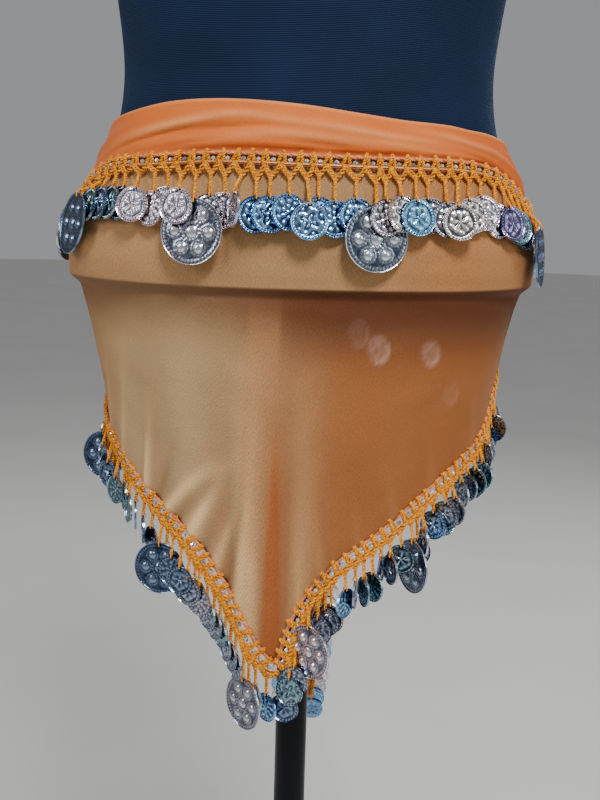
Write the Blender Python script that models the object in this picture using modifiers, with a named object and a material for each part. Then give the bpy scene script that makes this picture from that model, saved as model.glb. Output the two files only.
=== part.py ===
"""Belly dance hip scarf, wound and knotted round a limbless dress form on its stand.

Metres, +Z up. The origin is the middle of the base's underside. The scarf's point hangs on the
-Y side, over the form's seat, and the knot is on the +Y side.
"""

import math
from collections import namedtuple

import bmesh
import bpy
from mathutils import Vector

# ---------------------------------------------------------------- driving dimensions
# Stand
BASE_RADIUS = 0.185
BASE_THICKNESS = 0.009
BASE_ROUNDING = 0.003
POLE_RADIUS = 0.012
COLLAR_RADIUS = 0.027
COLLAR_HEIGHT = 0.034
FLANGE_RADIUS = 0.045
FLANGE_THICKNESS = 0.006
GAP = 0.0003

# Dress form. Heights in the tables below are measured from its lower edge.
HIP_EDGE = 0.880
HIP_EDGE_ROUNDING = 0.004
RING_POWER = 2.2
FORM_SEGMENTS = 40
CAP_HEIGHT = 0.018
EXTRA_RINGS = (0.0275, 0.0525, 0.080, 0.112, 0.152, 0.205)

# Cloth
WALL = 0.0010
CLOTH_OUT = 0.0017
FLAP_OUT = 0.0043
TURN_HEIGHT = 0.0013
FLAP_TAIL = 0.0030
FLAP_BILLOW = 0.0008
FRONT_SPAN = 96.0
WRAP_END = 167.0
SEAM_ANGLE = 0.13
WRAP_LIFT = 0.0185
LIFT_START = 140.0
TIP_ANGLE = -5.0
FRONT_COLUMNS = 40
WRAP_COLUMNS = 15

# Knot and hanging ends
KNOT_HEIGHT = 0.059
KNOT_HALF = Vector((0.0235, 0.0165, 0.0225))
KNOT_OUT = 0.0176
KNOT_SQUARENESS = 0.72
KNOT_FOLDS = 5
KNOT_FOLD_DEPTH = 0.0016
END_TUCK = 0.0021
END_PLEATS = 2.5
END_ROWS = 12
END_COLUMNS = 10

# Crochet trim. A drop is the yarn strand with the coin on it.
TRIM_THICKNESS = 0.0014
HEADING_DEPTH = 0.0035
POINT_DEPTH = 0.0110
STRAND_HALF = 0.0007
DROP_LENGTH = 0.0225
END_DROP = Vector((0.0070, 0.0035, -0.0140))
SMALL_COIN_RADIUS = 0.01075
LARGE_COIN_RADIUS = 0.01875
COIN_THICKNESS = 0.0012
COIN_OUT = 0.0077
LARGE_COIN_OUT = 0.0086
LARGE_COIN_ASIDE = 0.0035
COIN_TURN = 18.0
COIN_FOLLOWS = 0.15
FRONT_PITCH = 0.0097
HEM_PITCH = 0.0086
BACK_PITCH = 0.0200
END_PITCH = 0.0360
HEADING_GAP = 0.0009
UPPER_TRIM_END = 157.0
LOWER_TRIM_END = 150.0
TRIM_PARTING = 1.0
END_TRIM_TOP = 0.26
END_TRIM_FOOT = 0.97
# Angles of a coin's cross-sections, from its top round to its foot
FINE_COIN = (50, 110, 160)
PLAIN_COIN = (70, 150)

BodyRing = namedtuple("BodyRing", "height half_width seat_depth bust_depth")
FoldLine = namedtuple("FoldLine", "angle fold hem")
LowerEdge = namedtuple("LowerEdge", "angle height")
Crease = namedtuple("Crease", "angle width depth top reach lean")
EndSection = namedtuple("EndSection", "along half_width pleat")
HangingEnd = namedtuple("HangingEnd", "name side length start drift out")

FORM_RINGS = (
    BodyRing(0.000, 0.1575, 0.106, 0.110),
    BodyRing(0.015, 0.1585, 0.107, 0.112),
    BodyRing(0.040, 0.1545, 0.105, 0.111),
    BodyRing(0.065, 0.1440, 0.100, 0.105),
    BodyRing(0.095, 0.1310, 0.093, 0.097),
    BodyRing(0.132, 0.1255, 0.088, 0.092),
    BodyRing(0.175, 0.1290, 0.089, 0.098),
    BodyRing(0.235, 0.1390, 0.093, 0.114),
    BodyRing(0.285, 0.1465, 0.096, 0.126),
    BodyRing(0.330, 0.1500, 0.097, 0.120),
    BodyRing(0.380, 0.1580, 0.095, 0.100),
    BodyRing(0.420, 0.1640, 0.088, 0.088),
    BodyRing(0.450, 0.1540, 0.076, 0.074),
    BodyRing(0.475, 0.1150, 0.064, 0.062),
    BodyRing(0.492, 0.0760, 0.058, 0.056),
    BodyRing(0.512, 0.0560, 0.054, 0.052),
    BodyRing(0.560, 0.0520, 0.052, 0.050),
)

# The cloth falls free of the form below its edge: its sides swing in and its face stays upright.
HANGING_RINGS = (
    BodyRing(-0.245, 0.1230, 0.1200, 0.103),
    BodyRing(-0.195, 0.1245, 0.1185, 0.104),
    BodyRing(-0.145, 0.1270, 0.1165, 0.105),
    BodyRing(-0.095, 0.1318, 0.1140, 0.106),
    BodyRing(-0.068, 0.1360, 0.1122, 0.107),
    BodyRing(-0.045, 0.1415, 0.1105, 0.107),
    BodyRing(-0.024, 0.1490, 0.1085, 0.108),
    BodyRing(-0.008, 0.1550, 0.1068, 0.109),
)
BODY_RINGS = HANGING_RINGS + FORM_RINGS

# Angle 0 faces -Y and grows towards +X.
FOLD_LINES = (
    FoldLine(-167, 0.079, 0.063),
    FoldLine(-150, 0.088, 0.057),
    FoldLine(-120, 0.097, 0.049),
    FoldLine(-92, 0.100, 0.051),
    FoldLine(-80, 0.101, 0.062),
    FoldLine(-68, 0.105, 0.074),
    FoldLine(-49, 0.112, 0.078),
    FoldLine(-29, 0.114, 0.080),
    FoldLine(-3, 0.1125, 0.0795),
    FoldLine(20, 0.108, 0.079),
    FoldLine(35, 0.104, 0.079),
    FoldLine(50, 0.101, 0.078),
    FoldLine(58, 0.099, 0.075),
    FoldLine(65, 0.098, 0.068),
    FoldLine(71, 0.0965, 0.055),
    FoldLine(78, 0.095, 0.040),
    FoldLine(92, 0.094, 0.035),
    FoldLine(120, 0.092, 0.040),
    FoldLine(150, 0.087, 0.053),
    FoldLine(167, 0.079, 0.062),
)

LOWER_EDGES = (
    LowerEdge(-167, 0.040),
    LowerEdge(-150, 0.016),
    LowerEdge(-120, -0.045),
    LowerEdge(-95, -0.084),
    LowerEdge(-69, -0.1115),
    LowerEdge(-50, -0.137),
    LowerEdge(-31, -0.164),
    LowerEdge(-17, -0.204),
    LowerEdge(-9, -0.2345),
    LowerEdge(-5, -0.240),
    LowerEdge(-2, -0.217),
    LowerEdge(3, -0.193),
    LowerEdge(13, -0.1715),
    LowerEdge(23, -0.1545),
    LowerEdge(36, -0.1325),
    LowerEdge(51, -0.113),
    LowerEdge(65, -0.098),
    LowerEdge(92, -0.065),
    LowerEdge(120, -0.032),
    LowerEdge(150, 0.016),
    LowerEdge(167, 0.040),
)

# Long soft folds that deepen on their way down; lean is degrees of turn in a metre of fall.
CREASES = (
    Crease(-148, 9, 0.0020, 0.050, 0.08, 60),
    Crease(-122, 9, 0.0030, 0.020, 0.08, 60),
    Crease(-100, 9, 0.0030, 0.010, 0.10, 50),
    Crease(-82, 14, 0.0040, 0.065, 0.06, 0),
    Crease(-66, 7, 0.0026, 0.005, 0.11, 60),
    Crease(-52, 6, -0.0022, -0.010, 0.10, 50),
    Crease(-40, 6, 0.0024, -0.005, 0.11, 50),
    Crease(-27, 6, -0.0026, -0.015, 0.12, 40),
    Crease(-16, 5, 0.0040, -0.010, 0.14, 10),
    Crease(-7, 4.5, -0.0050, -0.030, 0.13, 0),
    Crease(3, 5, 0.0040, -0.020, 0.14, -10),
    Crease(17, 7, -0.0026, -0.015, 0.12, -30),
    Crease(33, 8, 0.0022, -0.005, 0.11, -40),
    Crease(52, 8, -0.0022, -0.010, 0.10, -40),
    Crease(70, 8, 0.0024, 0.000, 0.10, -50),
    Crease(97, 9, 0.0030, 0.010, 0.08, -50),
    Crease(122, 9, 0.0030, 0.020, 0.08, -60),
    Crease(148, 9, 0.0020, 0.050, 0.08, -60),
)

END_SECTIONS = (
    EndSection(0.00, 0.0080, 0.0015),
    EndSection(0.12, 0.0115, 0.0020),
    EndSection(0.30, 0.0205, 0.0045),
    EndSection(0.55, 0.0190, 0.0045),
    EndSection(0.80, 0.0120, 0.0030),
    EndSection(1.00, 0.0030, 0.0000),
)

# The right end lies over the left one. Start and drift place its middle, out is its distance behind
# the knot's middle.
HANGING_ENDS = (
    HangingEnd("left", -1, 0.335, 0.0120, 0.013, 0.003),
    HangingEnd("right", 1, 0.445, 0.0115, -0.006, 0.020),
)


# ---------------------------------------------------------------- scene, collections, materials
for leftover in list(bpy.data.objects):
    bpy.data.objects.remove(leftover, do_unlink=True)

COLLECTION = bpy.data.collections.new("hip_scarf_on_dress_form")
bpy.context.scene.collection.children.link(COLLECTION)


def make_material(name, colour, roughness, metallic=0.0):
    material = bpy.data.materials.new(name)
    material.use_nodes = True
    shader = material.node_tree.nodes["Principled BSDF"]
    shader.inputs["Base Color"].default_value = (*colour, 1.0)
    shader.inputs["Roughness"].default_value = roughness
    shader.inputs["Metallic"].default_value = metallic
    return material


CREPE = make_material("orange_crepe", (0.56, 0.22, 0.10), 0.75)
TRIM = make_material("yarn_and_coins", (0.62, 0.50, 0.36), 0.45, 0.4)
RIBBED_COVER = make_material("ribbed_cover", (0.010, 0.018, 0.035), 0.85)
BLACK_METAL = make_material("black_painted_metal", (0.012, 0.012, 0.014), 0.40)
BLACK_PLASTIC = make_material("black_plastic", (0.015, 0.015, 0.017), 0.45)


def add_object(name, mesh, material):
    mesh.materials.append(material)
    piece = bpy.data.objects.new(name, mesh)
    COLLECTION.objects.link(piece)
    return piece


def finish_mesh(name, shape, smooth_angle=50):
    """Turn a bmesh into a mesh with its faces pointing out."""
    bmesh.ops.recalc_face_normals(shape, faces=shape.faces)
    mesh = bpy.data.meshes.new(name)
    shape.to_mesh(mesh)
    shape.free()
    mesh.shade_smooth()
    mesh.set_sharp_from_angle(angle=math.radians(smooth_angle))
    return mesh


# ---------------------------------------------------------------- reading the tables
def read_table(rows, place, column):
    """Smooth value of a column at a place, which is each row's first column."""
    places = [row[0] for row in rows]
    values = [getattr(row, column) for row in rows]
    if place <= places[0]:
        return values[0]
    if place >= places[-1]:
        return values[-1]
    low = max(index for index, at in enumerate(places[:-1]) if at <= place)

    def slope(index):
        before, after = max(index - 1, 0), min(index + 1, len(rows) - 1)
        return (values[after] - values[before]) / (places[after] - places[before])

    span = places[low + 1] - places[low]
    t = (place - places[low]) / span
    return (
        values[low] * (2 * t**3 - 3 * t**2 + 1)
        + slope(low) * span * (t**3 - 2 * t**2 + t)
        + values[low + 1] * (3 * t**2 - 2 * t**3)
        + slope(low + 1) * span * (t**3 - t**2)
    )


def ease(t):
    t = min(max(t, 0.0), 1.0)
    return t * t * (3 - 2 * t)


# ---------------------------------------------------------------- the body's rings
def ring_point(rings, height, angle, out):
    """Point off a ring of the body at an angle in degrees, and the ring's outward direction there."""
    across, along = math.sin(math.radians(angle)), math.cos(math.radians(angle))
    width = read_table(rings, height, "half_width")
    depth = read_table(rings, height, "seat_depth" if along > 0 else "bust_depth")
    reach = (abs(across / width) ** RING_POWER + abs(along / depth) ** RING_POWER) ** (-1 / RING_POWER)
    x, y = reach * across, -reach * along
    outward = Vector((
        math.copysign(abs(x / width) ** (RING_POWER - 1) / width, x),
        math.copysign(abs(y / depth) ** (RING_POWER - 1) / depth, y),
        0.0,
    )).normalized()
    return Vector((x, y, HIP_EDGE + height)) + outward * out, outward


def fold_height(angle):
    return read_table(FOLD_LINES, angle, "fold")


def hem_height(angle):
    return read_table(FOLD_LINES, angle, "hem")


def edge_height(angle):
    return read_table(LOWER_EDGES, angle, "height")


def crease_depth(angle, height):
    """How far the long folds push the cloth out, or let it in, at a place."""
    depth = 0.0
    for crease in CREASES:
        middle = crease.angle + crease.lean * (crease.top - height)
        growth = ease((crease.top - height) / crease.reach)
        depth += crease.depth * growth * math.exp(-(((angle - middle) / crease.width) ** 2))
    return depth


def wrap_lift(angle):
    """The cloth leaves the form on its way to the knot."""
    return WRAP_LIFT * ease((abs(angle) - LIFT_START) / (WRAP_END - LIFT_START))


def cloth_point(angle, height, out):
    """Point on the draped cloth, out from the body, with its folds."""
    return ring_point(BODY_RINGS, height, angle, out + wrap_lift(angle) + crease_depth(angle, height))


# ---------------------------------------------------------------- dress form and stand
def turned(name, profile, material, steps=32):
    """A turned piece from its radius and height pairs, run top to bottom."""
    shape = bmesh.new()
    closed = profile[0] == profile[-1]
    corners = [shape.verts.new((radius, 0.0, height)) for radius, height in profile[:len(profile) - closed]]
    for upper, lower in zip(corners, corners[1:] + corners[:1] * closed):
        shape.edges.new((upper, lower))
    mesh = bpy.data.meshes.new(name)
    shape.to_mesh(mesh)
    shape.free()
    piece = add_object(name, mesh, material)
    screw = piece.modifiers.new("turn", "SCREW")
    screw.steps = steps
    screw.render_steps = steps
    screw.use_merge_vertices = True
    screw.merge_threshold = 0.00001
    return piece


def round_block(name, radius, bottom, top, rounding, material, steps=32):
    """A disc or post with its rims broken."""
    return turned(name, (
        (0.0, top), (radius - rounding, top), (radius, top - rounding),
        (radius, bottom + rounding), (radius - rounding, bottom), (0.0, bottom),
    ), material, steps)


def dress_form():
    heights = [0.0, HIP_EDGE_ROUNDING, *EXTRA_RINGS] + [row.height for row in FORM_RINGS[1:]]
    shape = bmesh.new()
    rings = []
    for height in sorted(heights):
        inset = -HIP_EDGE_ROUNDING if height == 0.0 else 0.0
        rings.append([
            shape.verts.new(ring_point(FORM_RINGS, height, 360 * step / FORM_SEGMENTS, inset)[0])
            for step in range(FORM_SEGMENTS)
        ])
    for lower, upper in zip(rings, rings[1:]):
        bridge(shape, lower, upper)
    shape.faces.new(rings[0])
    shape.faces.new(rings[-1])
    add_object("form_torso", finish_mesh("form_torso", shape, 40), RIBBED_COVER)


def bridge(shape, ring, following):
    """Join two rings of the same count, side by side."""
    count = len(ring)
    for side in range(count):
        ahead = (side + 1) % count
        shape.faces.new((ring[side], ring[ahead], following[ahead], following[side]))


def build_stand():
    base_top = BASE_THICKNESS
    form_top = HIP_EDGE + FORM_RINGS[-1].height
    flange_bottom = HIP_EDGE - GAP - FLANGE_THICKNESS
    round_block("stand_base", BASE_RADIUS, 0.0, base_top, BASE_ROUNDING, BLACK_METAL, 48)
    round_block("stand_pole", POLE_RADIUS, base_top + GAP, flange_bottom - GAP, 0.0005, BLACK_METAL, 20)
    round_block("form_flange", FLANGE_RADIUS, flange_bottom, HIP_EDGE - GAP, 0.001, BLACK_METAL, 28)
    collar_inside = POLE_RADIUS + GAP
    collar_bottom = base_top + GAP
    turned("stand_collar", (
        (collar_inside, collar_bottom + COLLAR_HEIGHT),
        (collar_inside + 0.004, collar_bottom + COLLAR_HEIGHT),
        (COLLAR_RADIUS, collar_bottom + 0.010),
        (COLLAR_RADIUS, collar_bottom),
        (collar_inside, collar_bottom),
        (collar_inside, collar_bottom + COLLAR_HEIGHT),
    ), BLACK_METAL, 24)
    cap_radius = FORM_RINGS[-1].half_width - 0.001
    turned("form_neck_cap", (
        (0.0, form_top + GAP + CAP_HEIGHT),
        (cap_radius * 0.45, form_top + GAP + CAP_HEIGHT * 0.93),
        (cap_radius * 0.85, form_top + GAP + CAP_HEIGHT * 0.62),
        (cap_radius, form_top + GAP + 0.003),
        (cap_radius - 0.002, form_top + GAP),
        (0.0, form_top + GAP),
    ), BLACK_PLASTIC, 28)


# ---------------------------------------------------------------- cloth walls
def cloth_wall(name, columns, rows, place):
    """A grid bent by place(across, up), both 0 to 1, and given the cloth's thickness."""
    shape = bmesh.new()
    bmesh.ops.create_grid(shape, x_segments=columns, y_segments=rows, size=0.5)
    for corner in shape.verts:
        corner.co = place(corner.co.x + 0.5, corner.co.y + 0.5)
    mesh = bpy.data.meshes.new(name)
    shape.to_mesh(mesh)
    shape.free()
    mesh.shade_smooth()
    piece = add_object(name, mesh, CREPE)
    wall = piece.modifiers.new("wall", "SOLIDIFY")
    wall.thickness = WALL
    wall.offset = 0.0
    wall.use_even_offset = False
    return piece


def front_angle(across):
    """Columns lie closest at the point, where the folds are narrowest."""
    centred = 2 * across - 1
    bow = TIP_ANGLE * (1 - centred**2)
    return bow + FRONT_SPAN * (0.6 * centred + 0.4 * centred**3)


def front_drape_place(across, up):
    angle = front_angle(across)
    top = fold_height(angle) - TURN_HEIGHT - FLAP_TAIL - GAP
    if up < 0.5:
        height = edge_height(angle) * (1 - 2 * up)
    else:
        height = top * (2 * up - 1)
    return cloth_point(angle, height, CLOTH_OUT)[0]


def wrap_place(start, end):
    def place(across, up):
        angle = start + (end - start) * across
        top = fold_height(angle) - TURN_HEIGHT - FLAP_TAIL - GAP
        bottom = edge_height(angle)
        return cloth_point(angle, bottom + (top - bottom) * up, CLOTH_OUT)[0]
    return place


def flap_place(angle_at):
    """The folded long edge: up the flap from its hem, over the turn and a little way down inside."""
    def place(across, up):
        angle = angle_at(across)
        fold, hem = fold_height(angle), hem_height(angle)
        stage = round(up * 4)
        height = (hem, (hem + fold) / 2, fold - TURN_HEIGHT, fold, fold - TURN_HEIGHT - FLAP_TAIL)[stage]
        middle = (CLOTH_OUT + FLAP_OUT) / 2
        out = (FLAP_OUT, FLAP_OUT + flap_billow(angle), FLAP_OUT, middle, CLOTH_OUT)[stage]
        return ring_point(BODY_RINGS, height, angle, out + wrap_lift(angle))[0]
    return place


def flap_billow(angle):
    """The flap stands a little off the drape between its fold and its hem, more in some places."""
    long_wave = 0.75 * math.sin(math.radians(5.2 * angle + 40))
    short_wave = 0.5 * math.sin(math.radians(11 * angle))
    return FLAP_BILLOW * (1 + long_wave + short_wave)


def side_angles(start, end):
    return lambda across: start + (end - start) * across


def build_wraps():
    cloth_wall("scarf_front_drape", FRONT_COLUMNS, 12, front_drape_place)
    cloth_wall("scarf_front_flap", FRONT_COLUMNS, 4, flap_place(front_angle))
    near, far = FRONT_SPAN + SEAM_ANGLE, WRAP_END
    for side, start, end in (("left", -far, -near), ("right", near, far)):
        cloth_wall(f"scarf_{side}_wrap", WRAP_COLUMNS, 8, wrap_place(start, end))
        cloth_wall(f"scarf_{side}_flap", WRAP_COLUMNS, 4, flap_place(side_angles(start, end)))


# ---------------------------------------------------------------- knot and hanging ends
def knot_centre():
    return ring_point(BODY_RINGS, KNOT_HEIGHT, 180.0, KNOT_OUT)[0]


def build_knot():
    """The two corners tied once: a squarish lump with the turns' folds running aslant over it."""
    shape = bmesh.new()
    bmesh.ops.create_uvsphere(shape, u_segments=20, v_segments=12, radius=1.0)
    for corner in shape.verts:
        unit = corner.co.copy()
        slant = math.atan2(unit.z, unit.x) + 0.9 * unit.y
        swell = 1 + KNOT_FOLD_DEPTH / KNOT_HALF.z * math.sin(KNOT_FOLDS * slant) * (1 - unit.y**4)
        corner.co = Vector((
            math.copysign(abs(unit.x) ** KNOT_SQUARENESS, unit.x) * KNOT_HALF.x,
            math.copysign(abs(unit.y) ** KNOT_SQUARENESS, unit.y) * KNOT_HALF.y,
            math.copysign(abs(unit.z) ** KNOT_SQUARENESS, unit.z) * KNOT_HALF.z,
        )) * (0.93 * swell) + knot_centre()
    add_object("scarf_knot", finish_mesh("scarf_knot", shape), CREPE)


def end_point(end, across, down):
    """Point on a hanging end: across runs from its inner edge, 0, to its outer one, 1; down from the knot."""
    centre = knot_centre()
    half = read_table(END_SECTIONS, down, "half_width")
    pleat = read_table(END_SECTIONS, down, "pleat")
    wave = pleat * math.sin(2 * math.pi * END_PLEATS * across + 0.6 + 1.2 * down)
    return Vector((
        end.side * (end.start + end.drift * down + half * (2 * across - 1)),
        centre.y + end.out * ease(down * 4) + wave,
        centre.z - KNOT_HALF.z - GAP + END_TUCK - end.length * down,
    ))


def end_edge(end, edge, down):
    """A place on the straight edge between two of the end's rows."""
    row = min(int(down * END_ROWS), END_ROWS - 1)
    upper, lower = end_point(end, edge, row / END_ROWS), end_point(end, edge, (row + 1) / END_ROWS)
    return upper.lerp(lower, down * END_ROWS - row)


def build_ends():
    for end in HANGING_ENDS:
        def place(across, up, end=end):
            return end_point(end, across if end.side < 0 else 1 - across, 1 - up)
        cloth_wall(f"scarf_{end.name}_end", END_COLUMNS, END_ROWS, place)


# ---------------------------------------------------------------- crochet trim with coins
Rail = namedtuple("Rail", "point outward")
FRONT_ANGLES = [front_angle(step / FRONT_COLUMNS) for step in range(FRONT_COLUMNS + 1)]
WRAP_ANGLES = [
    FRONT_SPAN + SEAM_ANGLE + (WRAP_END - FRONT_SPAN - SEAM_ANGLE) * step / WRAP_COLUMNS
    for step in range(WRAP_COLUMNS + 1)
]
COLUMN_ANGLES = [-angle for angle in reversed(WRAP_ANGLES)] + FRONT_ANGLES + WRAP_ANGLES


def on_columns(angle, place):
    """A place on the straight cloth between its two nearest columns."""
    index = max(step for step, at in enumerate(COLUMN_ANGLES[:-1]) if at <= angle)
    before, after = COLUMN_ANGLES[index], COLUMN_ANGLES[index + 1]
    share = (angle - before) / (after - before)
    first, second = place(before), place(after)
    return Rail(first[0].lerp(second[0], share), first[1].lerp(second[1], share).normalized())


def upper_rail(angle, depth=0.0):
    """Along the hem of the flap, or a depth below it."""
    return on_columns(angle, lambda at: ring_point(
        BODY_RINGS, hem_height(at) - depth, at, FLAP_OUT + wrap_lift(at)))


def lower_rail(angle, depth=0.0):
    """Along the lower edge of the drape and the wraps, or a depth below it."""
    return on_columns(angle, lambda at: cloth_point(at, edge_height(at) - depth, CLOTH_OUT))


def hanging_line(angle, height, lower):
    """Where a coin hangs: off the cloth on the form, and upright below the cloth's edge."""
    out = COIN_OUT + wrap_lift(angle)
    if lower:
        out += COIN_FOLLOWS * crease_depth(angle, height)
    else:
        out += max(crease_depth(angle, height - 2 * SMALL_COIN_RADIUS), 0.0)
    return ring_point(BODY_RINGS, height, angle, out)


def places_along(line, start, end, pitch):
    """Angles whose points on a line lie a pitch apart, measured level."""
    steps = 600
    walked, marks = 0.0, [(0.0, start)]
    before = line(start)
    for step in range(1, steps + 1):
        angle = start + (end - start) * step / steps
        point = line(angle)
        walked += (point - before).to_2d().length
        marks.append((walked, angle))
        before = point
    count = int(walked / pitch)
    slack = (walked - (count - 1) * pitch) / 2
    found = []
    for index in range(count):
        wanted = slack + index * pitch
        found.append(next(angle for distance, angle in marks if distance >= wanted))
    return found


def section(shape, top, bottom, outward):
    """One cross-section of a trim's heading: its two upper corners, then its two lower ones."""
    half = outward * (TRIM_THICKNESS / 2)
    return [shape.verts.new(place) for place in (top + half, top - half, bottom - half, bottom + half)]


def coin_rings(shape, top, up, across, outward, radius, angles):
    """Sections of a coin that hangs from its top: flat rectangles from narrow to wide and back."""
    rings = []
    for turn in angles:
        middle = top - up * (radius * (1 - math.cos(math.radians(turn))))
        wide = across * (radius * math.sin(math.radians(turn)))
        thick = outward * (COIN_THICKNESS / 2)
        corners = (middle - wide + thick, middle + wide + thick, middle + wide - thick, middle - wide - thick)
        rings.append([shape.verts.new(place) for place in corners])
    return rings


def hang_drop(shape, root, top, up, across, outward, radius, angles):
    """Continue a root of four corners into a strand and the coin at its foot."""
    thin, thick = across * STRAND_HALF, outward * (COIN_THICKNESS / 2)
    foot = [shape.verts.new(place) for place in (
        top - thin + thick, top + thin + thick, top + thin - thick, top - thin - thick)]
    rings = [root, foot] + coin_rings(shape, top, up, across, outward, radius, angles)
    for upper, lower in zip(rings, rings[1:]):
        bridge(shape, upper, lower)
    shape.faces.new(rings[-1])


def coin_frame(tops, index, angle, radius, turn, lower):
    """Up, across and facing directions of a coin. Coins overlap like slats: each is turned a little
    out of the line through its neighbours."""
    before, after = tops[max(index - 1, 0)], tops[min(index + 1, len(tops) - 1)]
    level = Vector((after.x - before.x, after.y - before.y, 0.0)).normalized()
    up = Vector((0.0, 0.0, 1.0))
    if not lower:
        height = tops[index].z - HIP_EDGE
        high = ring_point(BODY_RINGS, height, angle, 0.0)[0]
        low = ring_point(BODY_RINGS, height - 2 * radius, angle, 0.0)[0]
        up = (high - low).normalized()
    facing = level.cross(up).normalized()
    facing = facing if facing.dot(Vector((tops[index].x, tops[index].y, 0.0))) > 0 else -facing
    level = up.cross(facing).normalized()
    turn = math.radians(turn)
    across = level * math.cos(turn) + facing * math.sin(turn)
    return up, across, facing * math.cos(turn) - level * math.sin(turn)


def build_trim(name, rail, start, end, pitch, lower, pointed, first_large, turn, every):
    """A crochet heading along an edge, with a coin drop at each place. The heading is a narrow strip
    just off the cloth; pointed ones have a crochet point above each strand."""
    shape = bmesh.new()

    def coin_top(angle):
        return hanging_line(angle, rail(angle).point.z - HIP_EDGE - DROP_LENGTH, lower)[0]

    places = places_along(coin_top, start, end, pitch)
    tops = [coin_top(angle) for angle in places]
    half_pitch = (places[1] - places[0]) / 2
    strand_angle = half_pitch * 2 * STRAND_HALF / pitch
    ring = None
    end_reach = math.copysign(abs(half_pitch), end - start)

    def add_section(angle, depth, level_from=None):
        here = rail(angle)
        ahead, behind = rail(angle + 0.3).point, rail(angle - 0.3).point
        along = (ahead - behind).normalized()
        square = along.cross(here.outward).normalized()
        square = square if square.z < 0 else -square
        bottom = rail(angle, depth).point
        if level_from is not None:
            bottom.z = level_from.z - depth
        return section(shape, here.point + square * HEADING_GAP, bottom, here.outward)

    for index, angle in enumerate(places):
        middle = rail(angle).point
        if index == 0:
            ring = add_section(angle - end_reach, HEADING_DEPTH)
            shape.faces.new(ring)
        drop_depth = POINT_DEPTH if pointed else HEADING_DEPTH
        left = add_section(angle - strand_angle, drop_depth, middle)
        right = add_section(angle + strand_angle, drop_depth, middle)
        bridge(shape, ring, left)
        for side in range(4):
            ahead = (side + 1) % 4
            if side != 2:
                shape.faces.new((left[side], left[ahead], right[ahead], right[side]))
        large = first_large is not None and index % every == first_large
        radius = LARGE_COIN_RADIUS if large else SMALL_COIN_RADIUS
        up, across, facing = coin_frame(tops, index, angle, radius, 0.0 if large else turn, lower)
        top = tops[index]
        if large:
            top = top + facing * LARGE_COIN_OUT + across * math.copysign(LARGE_COIN_ASIDE, turn)
        root = [left[3], right[3], right[2], left[2]]
        flip = (right[3].co - left[3].co).dot(across) < 0
        across = -across if flip else across
        hang_drop(shape, root, top, up, across, facing, radius, FINE_COIN if pointed else PLAIN_COIN)
        ring = right
        if index + 1 == len(places):
            ring = add_section(angle + end_reach, HEADING_DEPTH)
            bridge(shape, right, ring)
            shape.faces.new(ring)
        elif pointed:
            ring = add_section((angle + places[index + 1]) / 2, HEADING_DEPTH)
            bridge(shape, right, ring)
    add_object(name, finish_mesh(name, shape, 30), TRIM)


def build_scarf_trims():
    span, near = FRONT_SPAN - TRIM_PARTING, FRONT_SPAN + TRIM_PARTING
    upper_far, lower_far = UPPER_TRIM_END, LOWER_TRIM_END
    right, left = TIP_ANGLE + 2 * TRIM_PARTING, TIP_ANGLE - 2 * TRIM_PARTING
    turn = COIN_TURN
    build_trim("trim_upper_front", upper_rail, -span, span, FRONT_PITCH, False, True, 4, turn, 11)
    build_trim("trim_upper_left", upper_rail, -near, -upper_far, BACK_PITCH, False, False, 3, turn, 6)
    build_trim("trim_upper_right", upper_rail, near, upper_far, BACK_PITCH, False, False, 3, turn, 6)
    build_trim("trim_lower_left", lower_rail, left, -span, HEM_PITCH, True, True, 1, turn, 7)
    build_trim("trim_lower_right", lower_rail, right, span, HEM_PITCH, True, True, 2, -turn, 8)
    build_trim("trim_lower_back_left", lower_rail, -near, -lower_far, BACK_PITCH, True, False, 3, turn, 6)
    build_trim("trim_lower_back_right", lower_rail, near, lower_far, BACK_PITCH, True, False, 3, -turn, 6)


def build_end_trim(name, end, edge):
    """A heading down one edge of a hanging end, with its drops standing off sideways."""
    shape = bmesh.new()
    away = end.side * (1 if edge == 1 else -1)
    sideways, behind = Vector((away, 0.0, 0.0)), Vector((0.0, 1.0, 0.0))
    half = behind * (TRIM_THICKNESS / 2)
    first, last = END_TRIM_TOP, END_TRIM_FOOT
    drops = int(end.length * (last - first) / END_PITCH)
    strand = STRAND_HALF / end.length

    def add_section(down):
        edge_place = end_edge(end, edge, down)
        inner, outer = edge_place + sideways * HEADING_GAP, edge_place + sideways * HEADING_DEPTH
        return [shape.verts.new(place) for place in (inner + half, inner - half, outer - half, outer + half)]

    def follow_rows(ring, above, below):
        """Sections at the end's own rows, so that the heading turns where the cloth does."""
        for row in range(1, END_ROWS):
            if above < row / END_ROWS < below:
                turned_ring = add_section(row / END_ROWS)
                bridge(shape, ring, turned_ring)
                ring = turned_ring
        return ring

    ring = add_section(first)
    shape.faces.new(ring)
    reached = first
    for index in range(drops):
        down = first + (last - first) * (index + 0.5) / drops
        ring = follow_rows(ring, reached, down - strand)
        reached = down + strand
        upper, lower = add_section(down - strand), add_section(reached)
        bridge(shape, ring, upper)
        for side in range(4):
            ahead = (side + 1) % 4
            if side != 2:
                shape.faces.new((upper[side], upper[ahead], lower[ahead], lower[side]))
        root = [lower[3], upper[3], upper[2], lower[2]]
        top = end_edge(end, edge, down) + sideways * (HEADING_DEPTH + END_DROP.x)
        top += Vector((0.0, END_DROP.y, END_DROP.z))
        up = Vector((0.0, 0.0, 1.0))
        hang_drop(shape, root, top, up, sideways, behind, SMALL_COIN_RADIUS, PLAIN_COIN)
        ring = lower
    closing = add_section(last)
    bridge(shape, follow_rows(ring, reached, last), closing)
    shape.faces.new(closing)
    add_object(name, finish_mesh(name, shape, 30), TRIM)


def build_end_trims():
    for end in HANGING_ENDS:
        build_end_trim(f"trim_{end.name}_end_inner", end, 0)
        build_end_trim(f"trim_{end.name}_end_outer", end, 1)


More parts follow.
